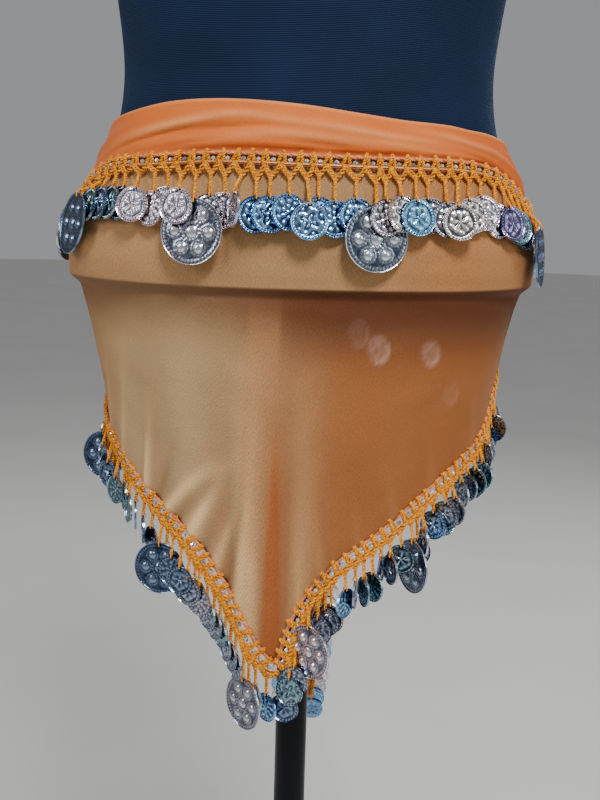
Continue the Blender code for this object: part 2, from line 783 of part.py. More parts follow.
dress_form()
build_stand()
build_wraps()
build_knot()
build_ends()
build_scarf_trims()
build_end_trims()
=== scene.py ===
"""A belly dance hip scarf of sheer orange crepe, tied round a limbless dress form on its stand.

Metres, +Z up, in the frame of the solids: the origin is the middle of the base's underside, the
scarf's point hangs on the -Y side and its knot is on the +Y side.
"""

import math
import random
from bisect import bisect_right
from collections import namedtuple

import bmesh
import bpy
from mathutils import Matrix, Vector, noise


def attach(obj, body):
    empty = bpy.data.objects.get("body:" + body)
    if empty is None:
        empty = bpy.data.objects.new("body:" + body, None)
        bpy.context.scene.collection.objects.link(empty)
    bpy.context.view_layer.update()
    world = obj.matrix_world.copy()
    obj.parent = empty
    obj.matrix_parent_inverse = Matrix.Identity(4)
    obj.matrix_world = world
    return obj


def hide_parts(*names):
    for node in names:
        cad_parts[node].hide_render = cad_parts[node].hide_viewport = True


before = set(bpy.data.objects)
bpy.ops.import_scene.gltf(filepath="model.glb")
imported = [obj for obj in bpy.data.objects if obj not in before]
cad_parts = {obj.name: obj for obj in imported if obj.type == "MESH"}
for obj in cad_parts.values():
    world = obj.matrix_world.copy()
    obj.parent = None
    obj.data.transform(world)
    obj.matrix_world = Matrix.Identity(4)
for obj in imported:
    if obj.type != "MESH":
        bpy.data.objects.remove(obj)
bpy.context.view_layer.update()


# ---------------------------------------------------------------- camera
# The scarf is looked at from in front of its point, from a little above the form's lower edge,
# with the camera tipped down and not quite level.
CAMERA_PLACE = (0.0, -0.75, 0.9355)
CAMERA_DIP = 11.0
CAMERA_ROLL = 1.6
LENS_MM = 47.2
SENSOR_MM = 36.0


def place_in_scene(name, contents):
    thing = bpy.data.objects.new(name, contents)
    bpy.context.scene.collection.objects.link(thing)
    return thing


camera_data = bpy.data.cameras.new("camera")
camera_data.lens = LENS_MM
camera_data.sensor_width = SENSOR_MM
camera_data.clip_start = 0.01
camera = place_in_scene("camera", camera_data)
camera.matrix_world = (
    Matrix.Translation(CAMERA_PLACE)
    @ Matrix.Rotation(math.radians(90 - CAMERA_DIP), 4, "X")
    @ Matrix.Rotation(math.radians(CAMERA_ROLL), 4, "Z")
)
bpy.context.scene.camera = camera


# ---------------------------------------------------------------- studio: light and floor
# A pale floor without edges in view, one large soft light above and before the scarf, a fill on
# each side and one behind, and a pale room.
ROOM_COLOUR = (0.80, 0.81, 0.83)
ROOM_STRENGTH = 0.38
FLOOR_RADIUS = 14.0
FLOOR_BELOW_STAND = 0.0005
FLOOR_DARK = (0.69, 0.68, 0.66)
FLOOR_LIGHT = (0.72, 0.71, 0.69)


def table(row, *lines):
    """A table whose columns have the row's names."""
    return tuple(row(*line) for line in lines)


SoftLight = namedtuple("SoftLight", "name place aim width height power")
SOFT_LIGHTS = table(
    SoftLight,
    ("key_light", (0.45, -1.40, 2.65), (0.0, 0.0, 0.88), 0.5, 0.5, 52.0),
    ("right_fill", (1.9, -0.7, 1.5), (0.0, 0.0, 0.90), 1.0, 1.4, 9.0),
    ("left_fill", (-1.9, -0.9, 1.9), (0.0, 0.0, 0.90), 0.8, 1.0, 16.0),
    ("back_light", (0.7, 2.1, 2.3), (0.0, 0.0, 0.95), 1.2, 1.2, 26.0),
)
for light in SOFT_LIGHTS:
    lamp = bpy.data.lights.new(light.name, "AREA")
    lamp.shape = "RECTANGLE"
    lamp.size, lamp.size_y = light.width, light.height
    lamp.energy = light.power
    holder = place_in_scene(light.name, lamp)
    holder.location = light.place
    holder.rotation_euler = (Vector(light.aim) - Vector(light.place)).to_track_quat("-Z", "Y").to_euler()

room = bpy.data.worlds.new("pale_room")
room.use_nodes = True
backdrop = room.node_tree.nodes["Background"]
backdrop.inputs["Color"].default_value = (*ROOM_COLOUR, 1.0)
backdrop.inputs["Strength"].default_value = ROOM_STRENGTH
bpy.context.scene.world = room


def finish(name, colour, roughness, **shader_values):
    """A material whose shader has plain values; the sections add the texture nodes."""
    material = bpy.data.materials.new(name)
    material.use_nodes = True
    shader = material.node_tree.nodes["Principled BSDF"]
    shader.inputs["Base Color"].default_value = (*colour, 1.0)
    shader.inputs["Roughness"].default_value = roughness
    for socket, value in shader_values.items():
        shader.inputs[socket.replace("_", " ")].default_value = value
    return material


def add_node(material, kind, links=(), **values):
    """Add a node; values set its settings or unlinked sockets, links feed its sockets."""
    node = material.node_tree.nodes.new(f"ShaderNode{kind}")
    for key, value in values.items():
        if hasattr(node, key):
            setattr(node, key, value)
        else:
            node.inputs[key.replace("_", " ")].default_value = value
    for socket, source in dict(links).items():
        material.node_tree.links.new(source, node.inputs[socket])
    return node


def feed(material, socket, source):
    material.node_tree.links.new(source, material.node_tree.nodes["Principled BSDF"].inputs[socket])


def noise_over(material, coordinate, scale, detail):
    return add_node(material, "TexNoise", {"Vector": coordinate}, Scale=scale, Detail=detail).outputs["Fac"]


def place_of(material):
    return add_node(material, "TexCoord").outputs["Object"]


def shaded(material, share, dark, light, low=0.35, high=0.65):
    """Colour that runs from dark to light while a share runs from low to high."""
    ramp = add_node(material, "ValToRGB", {"Fac": share})
    for stop, place, colour in zip(ramp.color_ramp.elements, (low, high), (dark, light)):
        stop.position, stop.color = place, (*colour, 1.0)
    return ramp.outputs["Color"]


def mottle(material, dark, light, scale, detail=3.0):
    """Colour that wanders between two tones."""
    clouds = noise_over(material, place_of(material), scale, detail)
    feed(material, "Base Color", shaded(material, clouds, dark, light))


def emboss(material, height, depth):
    """Use a height in the shader's normal."""
    bump = add_node(material, "Bump", {"Height": height}, Distance=depth, Strength=1.0)
    feed(material, "Normal", bump.outputs["Normal"])


def roughen(material, scale, detail, depth):
    """A fine uneven surface."""
    emboss(material, noise_over(material, place_of(material), scale, detail), depth)


floor_paint = finish("floor_paint", FLOOR_LIGHT, 0.8)
mottle(floor_paint, FLOOR_DARK, FLOOR_LIGHT, 3.0)
floor_shape = bmesh.new()
bmesh.ops.create_circle(floor_shape, cap_ends=True, radius=FLOOR_RADIUS, segments=96)
floor_mesh = bpy.data.meshes.new("studio_floor")
floor_shape.to_mesh(floor_mesh)
floor_shape.free()
floor_mesh.materials.append(floor_paint)
floor = place_in_scene("studio_floor", floor_mesh)
floor.location.z = -FLOOR_BELOW_STAND


# ---------------------------------------------------------------- dress form
# A limbless torso of a small women's size, hollow, with a fine-ribbed dark navy stretch cover drawn
# over it. Its lower edge is turned under to a flat board that the flange is screwed to.
HIP_EDGE = 0.880
RING_POWER = 2.2
EDGE_ROUNDING = 0.004
EDGE_STEP = 0.0012
BodyRing = namedtuple("BodyRing", "height half_width seat_depth bust_depth")
FORM_RINGS = table(
    BodyRing,
    (0.000, 0.1575, 0.106, 0.110),
    (0.015, 0.1585, 0.107, 0.112),
    (0.040, 0.1545, 0.105, 0.111),
    (0.065, 0.1440, 0.100, 0.105),
    (0.095, 0.1310, 0.093, 0.097),
    (0.132, 0.1255, 0.088, 0.092),
    (0.175, 0.1290, 0.089, 0.098),
    (0.235, 0.1390, 0.093, 0.114),
    (0.285, 0.1465, 0.096, 0.126),
    (0.330, 0.1500, 0.097, 0.120),
    (0.380, 0.1580, 0.095, 0.100),
    (0.420, 0.1640, 0.088, 0.088),
    (0.450, 0.1540, 0.076, 0.074),
    (0.475, 0.1150, 0.064, 0.062),
    (0.492, 0.0760, 0.058, 0.056),
    (0.512, 0.0560, 0.054, 0.052),
    (0.560, 0.0520, 0.052, 0.050),
)
# Below the form the cloth falls free. Its sides swing in and its face stays upright.
HANGING_RINGS = table(
    BodyRing,
    (-0.245, 0.1230, 0.1200, 0.103),
    (-0.195, 0.1245, 0.1185, 0.104),
    (-0.145, 0.1270, 0.1165, 0.105),
    (-0.095, 0.1318, 0.1140, 0.106),
    (-0.068, 0.1360, 0.1122, 0.107),
    (-0.045, 0.1415, 0.1105, 0.107),
    (-0.024, 0.1490, 0.1085, 0.108),
    (-0.008, 0.1550, 0.1068, 0.109),
)
BODY_RINGS = HANGING_RINGS + FORM_RINGS
FORM_SIDES = 112
FORM_RING_STEP = 0.006
COVER_DARK = (0.0028, 0.0108, 0.0345)
COVER_LIGHT = (0.0055, 0.0195, 0.0610)
RIB_PITCH = 0.00105
RIB_DEPTH = 0.00022
COVER_SHEEN = (0.25, 0.42, 0.75, 1.0)


def smooth_curve(rows, column):
    """A function that runs smoothly through a table's column, and is level past both its ends."""
    places = [row[0] for row in rows]
    values = [getattr(row, column) for row in rows]
    last = len(rows) - 1
    slopes = []
    for row in range(last + 1):
        before, after = max(row - 1, 0), min(row + 1, last)
        slopes.append((values[after] - values[before]) / (places[after] - places[before]))

    def value(place):
        if place <= places[0]:
            return values[0]
        if place >= places[last]:
            return values[last]
        low = bisect_right(places, place) - 1
        span = places[low + 1] - places[low]
        t = (place - places[low]) / span
        return (
            values[low] * (2 * t**3 - 3 * t**2 + 1)
            + slopes[low] * span * (t**3 - 2 * t**2 + t)
            + values[low + 1] * (3 * t**2 - 2 * t**3)
            + slopes[low + 1] * span * (t**3 - t**2)
        )
    return value


def ease(t):
    t = min(max(t, 0.0), 1.0)
    return t * t * (3 - 2 * t)


ring_width = smooth_curve(BODY_RINGS, "half_width")
ring_seat = smooth_curve(BODY_RINGS, "seat_depth")
ring_bust = smooth_curve(BODY_RINGS, "bust_depth")


def ring_point(height, angle, out):
    """Point off the body at a height above the form's edge and an angle in degrees, 0 facing -Y and
    growing towards +X, and the body's outward direction there."""
    across, along = math.sin(math.radians(angle)), math.cos(math.radians(angle))
    width = ring_width(height)
    depth = ring_seat(height) if along > 0 else ring_bust(height)
    reach = (abs(across / width) ** RING_POWER + abs(along / depth) ** RING_POWER) ** (-1 / RING_POWER)
    x, y = reach * across, -reach * along
    outward = Vector((
        math.copysign(abs(x / width) ** (RING_POWER - 1) / width, x),
        math.copysign(abs(y / depth) ** (RING_POWER - 1) / depth, y),
        0.0,
    )).normalized()
    return Vector((x, y, HIP_EDGE + height)) + outward * out, outward


def add_piece(name, mesh, material, node, also=()):
    """Put a finished mesh in the scene, fixed to the one body, in place of its solids."""
    mesh.materials.append(material)
    piece = place_in_scene(name, mesh)
    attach(piece, "root")
    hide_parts(node, *also)
    return piece


def smooth_mesh(name, shape):
    mesh = bpy.data.meshes.new(name)
    shape.to_mesh(mesh)
    shape.free()
    mesh.shade_smooth()
    return mesh


def closed_mesh(name, shape, sharp_angle=40):
    """A closed piece, its faces all turned outwards, with its corners kept sharp."""
    bmesh.ops.recalc_face_normals(shape, faces=shape.faces)
    mesh = smooth_mesh(name, shape)
    mesh.set_sharp_from_angle(angle=math.radians(sharp_angle))
    return mesh


def bridge(shape, ring, following):
    """Join two rings of the same count, side by side."""
    count = len(ring)
    for side in range(count):
        ahead = (side + 1) % count
        shape.faces.new((ring[side], ring[ahead], following[ahead], following[side]))


def skin_over(shape, rings):
    """Close a row of rings into one skin, with a face over each end."""
    for before, after in zip(rings, rings[1:]):
        bridge(shape, before, after)
    shape.faces.new(reversed(rings[0]))
    shape.faces.new(rings[-1])


def bands_over(material, coordinate, direction, pitch, **values):
    """Stripes across a direction, a pitch in metres apart."""
    return add_node(
        material, "TexWave", {"Vector": coordinate}, wave_type="BANDS", bands_direction=direction,
        Scale=math.pi / 10 / pitch, **values,
    ).outputs["Fac"]


ribbed_cover = finish("ribbed_cover", COVER_LIGHT, 0.78, Sheen_Weight=0.10, Sheen_Roughness=0.4,
                      Sheen_Tint=COVER_SHEEN, Specular_IOR_Level=0.18)
mottle(ribbed_cover, COVER_DARK, COVER_LIGHT, 9.0)
ribs = bands_over(ribbed_cover, place_of(ribbed_cover), "Z", RIB_PITCH, Distortion=0.6, Detail=1.0)
emboss(ribbed_cover, ribs, RIB_DEPTH)

form_shape = bmesh.new()
form_height = FORM_RINGS[-1].height
ring_count = round(form_height / FORM_RING_STEP)
form_levels = [(0.0, -EDGE_ROUNDING), (EDGE_STEP, -EDGE_STEP), (EDGE_ROUNDING, 0.0)]
form_levels += [(form_height * step / ring_count, 0.0) for step in range(1, ring_count + 1)]
form_rings = [
    [form_shape.verts.new(ring_point(height, 360 * side / FORM_SIDES, inset)[0])
     for side in range(FORM_SIDES)]
    for height, inset in form_levels
]
skin_over(form_shape, form_rings)
add_piece("form_cover", closed_mesh("form_cover", form_shape, 50), ribbed_cover,
          node="form_torso")


# ---------------------------------------------------------------- neck cap
# A turned and domed cap of black plastic, with a fine moulded grain. It sits on the form's neck and
# closes it.
CAP_HEIGHT = 0.018
CAP_RIM = 0.003
CAP_INSET = 0.001
CAP_STEPS = 16
GAP = 0.0003
Turning = namedtuple("Turning", "radius height")
cap_radius = FORM_RINGS[-1].half_width - CAP_INSET
cap_foot = HIP_EDGE + form_height + GAP


def turns(count, last=0):
    """Angles round a full turn; with a last of 1, the first comes again at the end."""
    return [2 * math.pi * step / count for step in range(count + last)]


def turned(name, profile, sides):
    """A turned piece from its profile, which is closed or ends on the axis."""
    shape = bmesh.new()
    rings = []
    for radius, height in profile:
        if radius == 0.0:
            rings.append([shape.verts.new((0.0, 0.0, height))])
            continue
        rings.append([
            shape.verts.new((radius * math.cos(turn), radius * math.sin(turn), height))
            for turn in turns(sides)
        ])
    for upper, lower in zip(rings, rings[1:]):
        if len(upper) == 1 or len(lower) == 1:
            tip, rim = (upper[0], lower) if len(upper) == 1 else (lower[0], upper)
            for side in range(sides):
                shape.faces.new((tip, rim[side], rim[(side + 1) % sides]))
        else:
            bridge(shape, upper, lower)
    bmesh.ops.remove_doubles(shape, verts=shape.verts, dist=0.000001)
    return closed_mesh(name, shape, 30)


def rounded(radius, height, rounding, facing, steps=6):
    """Points round a convex corner: facing +1 turns an upper rim, -1 a lower one, run downwards."""
    arc = [math.pi / 2 * step / steps for step in range(steps + 1)]
    return [
        Turning(radius - rounding * (1 - math.sin(turn)), height - facing * rounding * (1 - math.cos(turn)))
        for turn in (arc if facing > 0 else reversed(arc))
    ]


cap_dome = CAP_HEIGHT - CAP_RIM
cap_profile = [Turning(0.0, cap_foot + CAP_HEIGHT)] + [
    Turning(cap_radius * math.sin(turn), cap_foot + CAP_RIM + cap_dome * math.cos(turn) ** 0.8)
    for turn in (math.pi / 2 * step / CAP_STEPS for step in range(1, CAP_STEPS + 1))
] + rounded(cap_radius, cap_foot, 0.002, -1) + [Turning(0.0, cap_foot)]
black_plastic = finish("black_plastic", (0.015, 0.015, 0.017), 0.42)
roughen(black_plastic, 1400.0, 2.0, 0.00012)
add_piece("neck_cap", turned("neck_cap", cap_profile, 64), black_plastic,
          node="form_neck_cap")


# ---------------------------------------------------------------- stand
# Black enamelled steel: a round base, a pole, the collar at the pole's foot, and the flange that the
# form is screwed down on. Each is turned and sits on the next with a hair's gap.
BASE_RADIUS = 0.185
BASE_THICKNESS = 0.009
POLE_RADIUS = 0.012
COLLAR_RADIUS = 0.027
COLLAR_HEIGHT = 0.034
COLLAR_LIP = 0.004
COLLAR_SKIRT = 0.010
COLLAR_SHOULDER = 0.003
COLLAR_STEPS = 8
FLANGE_RADIUS = 0.045
FLANGE_THICKNESS = 0.006


def remapped(material, value, low, high, to_low, to_high):
    """A value whose span from low to high is stretched to another span."""
    return add_node(material, "MapRange", {"Value": value},
                    From_Min=low, From_Max=high, To_Min=to_low, To_Max=to_high).outputs["Result"]


enamel = finish("black_enamel", (0.003, 0.004, 0.007), 0.22, Specular_IOR_Level=0.12,
                Coat_Weight=0.02, Coat_Roughness=0.12)
roughen(enamel, 420.0, 2.0, 0.00006)
scuffs = noise_over(enamel, place_of(enamel), 38.0, 5.0)
feed(enamel, "Roughness", remapped(enamel, scuffs, 0.35, 0.75, 0.20, 0.42))


def turned_bar(radius, top, foot, upper, lower):
    """Profile of a solid round piece; upper and lower are the rounding and its steps."""
    return [
        Turning(0.0, top), *rounded(radius, top, upper[0], 1, upper[1]),
        *rounded(radius, foot, lower[0], -1, lower[1]), Turning(0.0, foot),
    ]


flange_foot = HIP_EDGE - GAP - FLANGE_THICKNESS
collar_foot, collar_top = BASE_THICKNESS + GAP, BASE_THICKNESS + GAP + COLLAR_HEIGHT
collar_bore = POLE_RADIUS + GAP
collar_profile = [
    Turning(collar_bore, collar_top), *rounded(collar_bore + COLLAR_LIP, collar_top, 0.001, 1, 3)]
for up in (step / COLLAR_STEPS for step in reversed(range(COLLAR_STEPS))):
    narrowing = math.sin(math.pi / 2 * up) ** 0.7
    collar_profile.append(Turning(
        COLLAR_RADIUS - (COLLAR_RADIUS - collar_bore - COLLAR_LIP) * narrowing,
        collar_foot + COLLAR_SKIRT + (COLLAR_HEIGHT - COLLAR_SHOULDER - COLLAR_SKIRT) * up))
collar_profile += rounded(COLLAR_RADIUS, collar_foot, 0.002, -1, 4)
collar_profile += [Turning(collar_bore, collar_foot), Turning(collar_bore, collar_top)]
for part, node, profile, sides in (
    ("base", "stand_base", turned_bar(BASE_RADIUS, BASE_THICKNESS, 0.0, (0.003, 6), (0.003, 6)), 128),
    ("pole", "stand_pole", turned_bar(
        POLE_RADIUS, flange_foot - GAP, BASE_THICKNESS + GAP, (0.0008, 3), (0.0008, 3)), 64),
    ("collar", "stand_collar", collar_profile, 64),
    ("flange", "form_flange", turned_bar(
        FLANGE_RADIUS, HIP_EDGE - GAP, flange_foot, (0.001, 3), (0.0015, 4)), 64),
):
    name = f"{part}_enamelled"
    add_piece(name, turned(name, profile, sides), enamel, node=node)


# ---------------------------------------------------------------- scarf: the wrap
# One triangle of semi-sheer orange crepe, a single layer thick. It is drawn taut round the hips,
# stretched over the form's lower edge, and falls free below it to its point.
CLOTH_OUT = 0.0017
FLAP_OUT = 0.0043
CLOTH_THICKNESS = 0.0006
WRAP_END = 167.0
WRAP_LIFT = 0.0185
LIFT_START = 140.0
WRAP_COLUMNS = 250
WRAP_ROWS = 90
FREE_SHARE = 0.73
TURN_HEIGHT = 0.0013
FLAP_TAIL = 0.0030
UNDERCUT = 0.0046
UNDERCUT_TOP = 0.0075
UNDERCUT_FOOT = 0.058
UNDERCUT_FADE = 0.048
TAUT_SLACK = 0.0003
FREE_SLACK = 0.0011
WRINKLE_DEPTH = 0.0007

FoldLine = namedtuple("FoldLine", "angle fold hem")
LowerEdge = namedtuple("LowerEdge", "angle height")
Crease = namedtuple("Crease", "angle width depth top reach lean")
FOLD_LINES = table(
    FoldLine,
    (-167, 0.079, 0.063),
    (-150, 0.088, 0.057),
    (-120, 0.097, 0.051),
    (-92, 0.100, 0.054),
    (-80, 0.101, 0.062),
    (-68, 0.105, 0.074),
    (-49, 0.111, 0.078),
    (-29, 0.1125, 0.080),
    (-3, 0.1100, 0.0795),
    (20, 0.1055, 0.079),
    (35, 0.1025, 0.079),
    (50, 0.101, 0.079),
    (58, 0.099, 0.0775),
    (65, 0.098, 0.0735),
    (71, 0.0965, 0.066),
    (78, 0.095, 0.056),
    (92, 0.094, 0.050),
    (120, 0.092, 0.047),
    (150, 0.087, 0.053),
    (167, 0.079, 0.062),
)
LOWER_EDGES = table(
    LowerEdge,
    (-167, 0.040),
    (-150, 0.016),
    (-120, -0.045),
    (-95, -0.084),
    (-69, -0.1115),
    (-50, -0.137),
    (-31, -0.164),
    (-17, -0.204),
    (-9, -0.2345),
    (-5, -0.240),
    (-2, -0.217),
    (3, -0.193),
    (13, -0.1715),
    (23, -0.1565),
    (36, -0.1370),
    (51, -0.1185),
    (65, -0.1015),
    (92, -0.065),
    (120, -0.032),
    (150, 0.016),
    (167, 0.040),
)
# Long soft folds that deepen on their way down; lean is degrees of turn in a metre of fall.
CREASES = table(
    Crease,
    (-148, 9, 0.0020, 0.050, 0.08, 60),
    (-122, 9, 0.0030, 0.020, 0.08, 60),
    (-100, 9, 0.0030, 0.010, 0.10, 50),
    (-82, 14, 0.0040, 0.065, 0.06, 0),
    (-66, 7, 0.0009, 0.005, 0.11, 60),
    (-52, 6, -0.0009, -0.010, 0.10, 50),
    (-40, 6, 0.0009, -0.005, 0.11, 50),
    (-27, 5, -0.0018, -0.040, 0.12, 40),
    (-16, 5, 0.0040, -0.010, 0.14, 10),
    (-7, 4.5, -0.0050, -0.030, 0.13, 0),
    (3, 5, 0.0032, -0.020, 0.14, -10),
    (17, 7, -0.0015, -0.015, 0.12, -30),
    (33, 8, 0.0010, -0.005, 0.11, -40),
    (52, 8, -0.0012, -0.010, 0.10, -40),
    (70, 8, 0.0012, 0.000, 0.10, -50),
    (97, 9, 0.0030, 0.010, 0.08, -50),
    (122, 9, 0.0030, 0.020, 0.08, -60),
    (148, 9, 0.0020, 0.050, 0.08, -60),
)
# Short ridges that the stitched hem pulls into the cloth: how far up they run, and their slant in
# degrees of turn in a metre of rise.
HemPull = namedtuple("HemPull", "angle width depth reach slant")
HEM_PULLS = table(
    HemPull,
    (-74, 1.5, 0.0010, 0.040, -60),
    (-63, 1.3, 0.0010, 0.045, -40),
    (-51, 1.0, 0.0022, 0.036, -20),
    (-46.5, 1.6, -0.0018, 0.034, -150),
    (-42, 1.5, 0.0022, 0.052, -260),
    (-38, 1.6, -0.0021, 0.040, -240),
    (-33, 1.4, 0.0023, 0.050, -150),
    (-29, 1.4, -0.0018, 0.040, -140),
    (-25, 1.1, 0.0018, 0.044, -110),
    (-21.5, 1.3, -0.0020, 0.055, -70),
    (-17.5, 1.3, 0.0020, 0.070, -30),
    (1, 1.0, 0.0009, 0.030, 20),
    (8, 1.2, 0.0009, 0.034, 60),
    (19, 1.3, 0.0008, 0.026, 60),
    (30, 1.4, 0.0008, 0.032, 80),
    (44, 1.5, 0.0008, 0.024, 60),
    (61, 1.5, 0.0009, 0.030, 60),
    (-118, 1.6, 0.0011, 0.040, 60),
    (-136, 1.4, 0.0010, 0.030, 60),
    (112, 1.6, 0.0011, 0.040, -60),
    (134, 1.4, 0.0010, 0.030, -60),
)
fold_height = smooth_curve(FOLD_LINES, "fold")
hem_height = smooth_curve(FOLD_LINES, "hem")
edge_height = smooth_curve(LOWER_EDGES, "height")


def bell(t):
    return math.exp(-t * t)


def crease_depth(angle, height):
    """How far the long folds push the cloth out, or let it in, at a place."""
    depth = 0.0
    for crease in CREASES:
        middle = crease.angle + crease.lean * (crease.top - height)
        growth = ease((crease.top - height) / crease.reach)
        depth += crease.depth * growth * bell((angle - middle) / crease.width)
    return depth


def hem_pull(angle, rise):
    """How far the hem's short ridges push the cloth out, at a rise above its lower edge."""
    depth = 0.0
    for pull in HEM_PULLS:
        if rise < 2 * pull.reach:
            middle = pull.angle - pull.slant * rise
            depth += pull.depth * bell(rise / pull.reach) * bell((angle - middle) / pull.width)
    return depth


def small_relief(angle, height):
    """The slight dip under the form's edge, the pulls of the hem and the slack of thin cloth."""
    drawn_in = ease(-height / UNDERCUT_TOP) * ease((height + UNDERCUT_FOOT) / UNDERCUT_FADE)
    depth = hem_pull(angle, height - edge_height(angle))
    depth -= UNDERCUT * drawn_in * ease((128 - abs(angle)) / 30)
    free = ease(-height / 0.03)
    slack = noise.noise(Vector((angle * 0.045, height * 16, 0.5)))
    wrinkles = noise.noise(Vector((angle * 0.030, height * 105, 7.0)))
    return depth + slack * (TAUT_SLACK + FREE_SLACK * free) + WRINKLE_DEPTH * wrinkles * (1 - free)


def wrap_lift(angle):
    """The cloth leaves the form on its way to the knot."""
    return WRAP_LIFT * ease((abs(angle) - LIFT_START) / (WRAP_END - LIFT_START))


def cloth_point(angle, height, out):
    """Point on the draped cloth, out from the body, with its long folds."""
    return ring_point(height, angle, out + wrap_lift(angle) + crease_depth(angle, height))


Tone = namedtuple("Tone", "red green blue")
OVER_FORM = Tone(0.430, 0.240, 0.102)
# over the form the band is painted lighter on its left as light and darker on its right as shade
OVER_LIT = Tone(0.48, 0.25, 0.105)
OVER_SHADED_RIGHT = Tone(0.44, 0.185, 0.062)
GOLDEN = Tone(0.46, 0.295, 0.145)
ORANGE = Tone(0.315, 0.086, 0.013)
END_BEHIND = Tone(0.46, 0.205, 0.078)
# painted shade in fold troughs, down the deepest fold and between the knot's pleats
FOLD_SHADE = Tone(0.40, 0.100, 0.020)
# painted highlight, laid on the ridges of folds, hem pulls and pleats
RIDGE_HIGHLIGHT = Tone(1.00, 0.63, 0.29)
# painted shade: under the form's edge where the cloth turns in, and in the troughs between the hem's pulls
DEEP_SHADE = Tone(0.105, 0.026, 0.006)
DEEP_FOLD = 0.0042
DEEP_PULL = 0.0016


def blend_tones(first, second, share):
    share = min(max(share, 0.0), 1.0)
    return Tone(*(a + (b - a) * share for a, b in zip(first, second)))


CoinBehind = namedtuple("CoinBehind", "angle height radius share")
COINS_BEHIND = table(
    CoinBehind,
    (24.5, -0.037, 0.0105, 0.38),
    (41.0, -0.040, 0.0095, 0.42),
    (49.0, -0.067, 0.0095, 0.14),
    (18.3, -0.027, 0.0105, 0.11),
)
DEGREE_ROUND_HIPS = 0.0026
COIN_GLOW = Tone(0.74, 0.52, 0.43)
CREPE_SHEEN = (1.0, 0.80, 0.58, 1.0)
CREPE_RELIEF = 0.00022
CRINKLE_SLANT = math.radians(38)
THREAD_PITCH = 0.0009


def glow_behind(angle, height):
    """Coins of the end that hangs inside press on the sheer cloth and show through it: they are painted
    in as lighter discs, with a painted highlight on the lower right of each rim.
    """
    glow = 0.0
    for coin in COINS_BEHIND:
        right, up = (angle - coin.angle) * DEGREE_ROUND_HIPS, height - coin.height
        far = math.hypot(right, up)
        disc = ease((coin.radius - far) / 0.003)
        # painted highlight on the lower right of the rim
        rim = ease((far / coin.radius - 0.45) / 0.3) * ease((right - up) / coin.radius)
        struck = 0.5 + 0.9 * noise.noise(Vector((right, up, 0.0)) * 330)
        glow = max(glow, coin.share * disc * (0.10 + 0.42 * struck + 0.48 * rim))
    return glow


def washed(tone, *washes):
    """A tone with others laid over it in turn, each by its share."""
    for wash, share in washes:
        tone = blend_tones(tone, wash, share)
    return tone


def wrap_tone(angle, height):
    """The thin cloth is golden where one sees through a single layer, browner over the dark cover,
    and a stronger orange round the sides, where its threads lie closer to the eye. Over that lie painted
    light and shade: the band over the form lighter on the left and darker on the right, the right of
    the free part orange as the side in shade, painted shade under the form's edge, in the troughs of
    folds and pulls and down the deepest fold, and painted highlights on their ridges."""
    side = ease((abs(angle + 4) - 50) / 36)
    to_right = ease((angle + 48) / 60)
    # the right of the free part, painted orange as the side in shade
    shaded_right = ease((angle + 42) / 66) * ease(-height / 0.04)
    # painted light on the left of the band over the form, painted shade on its right
    over_form = washed(
        OVER_FORM, (OVER_LIT, ease((-angle - 20) / 40)), (OVER_SHADED_RIGHT, ease((angle - 12) / 36)))
    # where the painted shade lies under the form's edge
    shade_under_edge = ease((0.0006 - height) / 0.0020) * ease((height + 0.050 + 0.014 * to_right) / 0.048)
    free = ease(-height / 0.05)
    lit = (1 - side) * (1 - 0.95 * shaded_right)
    fold = crease_depth(angle, height) / DEEP_FOLD
    pull = hem_pull(angle, height - edge_height(angle)) / DEEP_PULL
    # the ends behind show through in a strip, and painted shade keeps the deepest fold dark down to the
    # point
    strip = ease((angle + 18) / 1.2) * ease((-6 - angle) / 2.0)
    strip *= ease(-height / 0.04) * ease((height + 0.20) / 0.07)
    half_width = 0.5 + 2.0 * ease((-0.10 - height) / 0.12)
    shaded_stripe = ease((half_width + 1.3 - abs(angle + 7.2)) / 1.6) * ease((-0.075 - height) / 0.06)
    return washed(
        blend_tones(GOLDEN, ORANGE, max(0.85 * side, 0.88 * shaded_right)),
        (over_form, ease((height + 0.004) / 0.006) * (1 - 0.5 * side)),
        (DEEP_SHADE, shade_under_edge * (0.66 + 0.32 * to_right)),
        # painted highlights on the ridges of the long folds and of the hem's pulls
        (RIDGE_HIGHLIGHT, (0.50 + 0.45 * ease((-0.12 - height) / 0.06)) * max(fold, 0.0) * free * lit),
        (END_BEHIND, 0.42 * strip),
        (RIDGE_HIGHLIGHT, 0.68 * max(pull, 0.0) * (1 - 0.6 * side) * (1 - 0.85 * shaded_right)),
        # painted shade in the troughs between the hem's pulls
        (DEEP_SHADE, 0.30 * max(-pull, 0.0)),
        # painted shade in the troughs of the long folds and down the deepest fold
        (FOLD_SHADE, 0.45 * max(-fold, 0.0) * free),
        (FOLD_SHADE, 0.72 * shaded_stripe),
        (COIN_GLOW, glow_behind(angle, height)),
    )


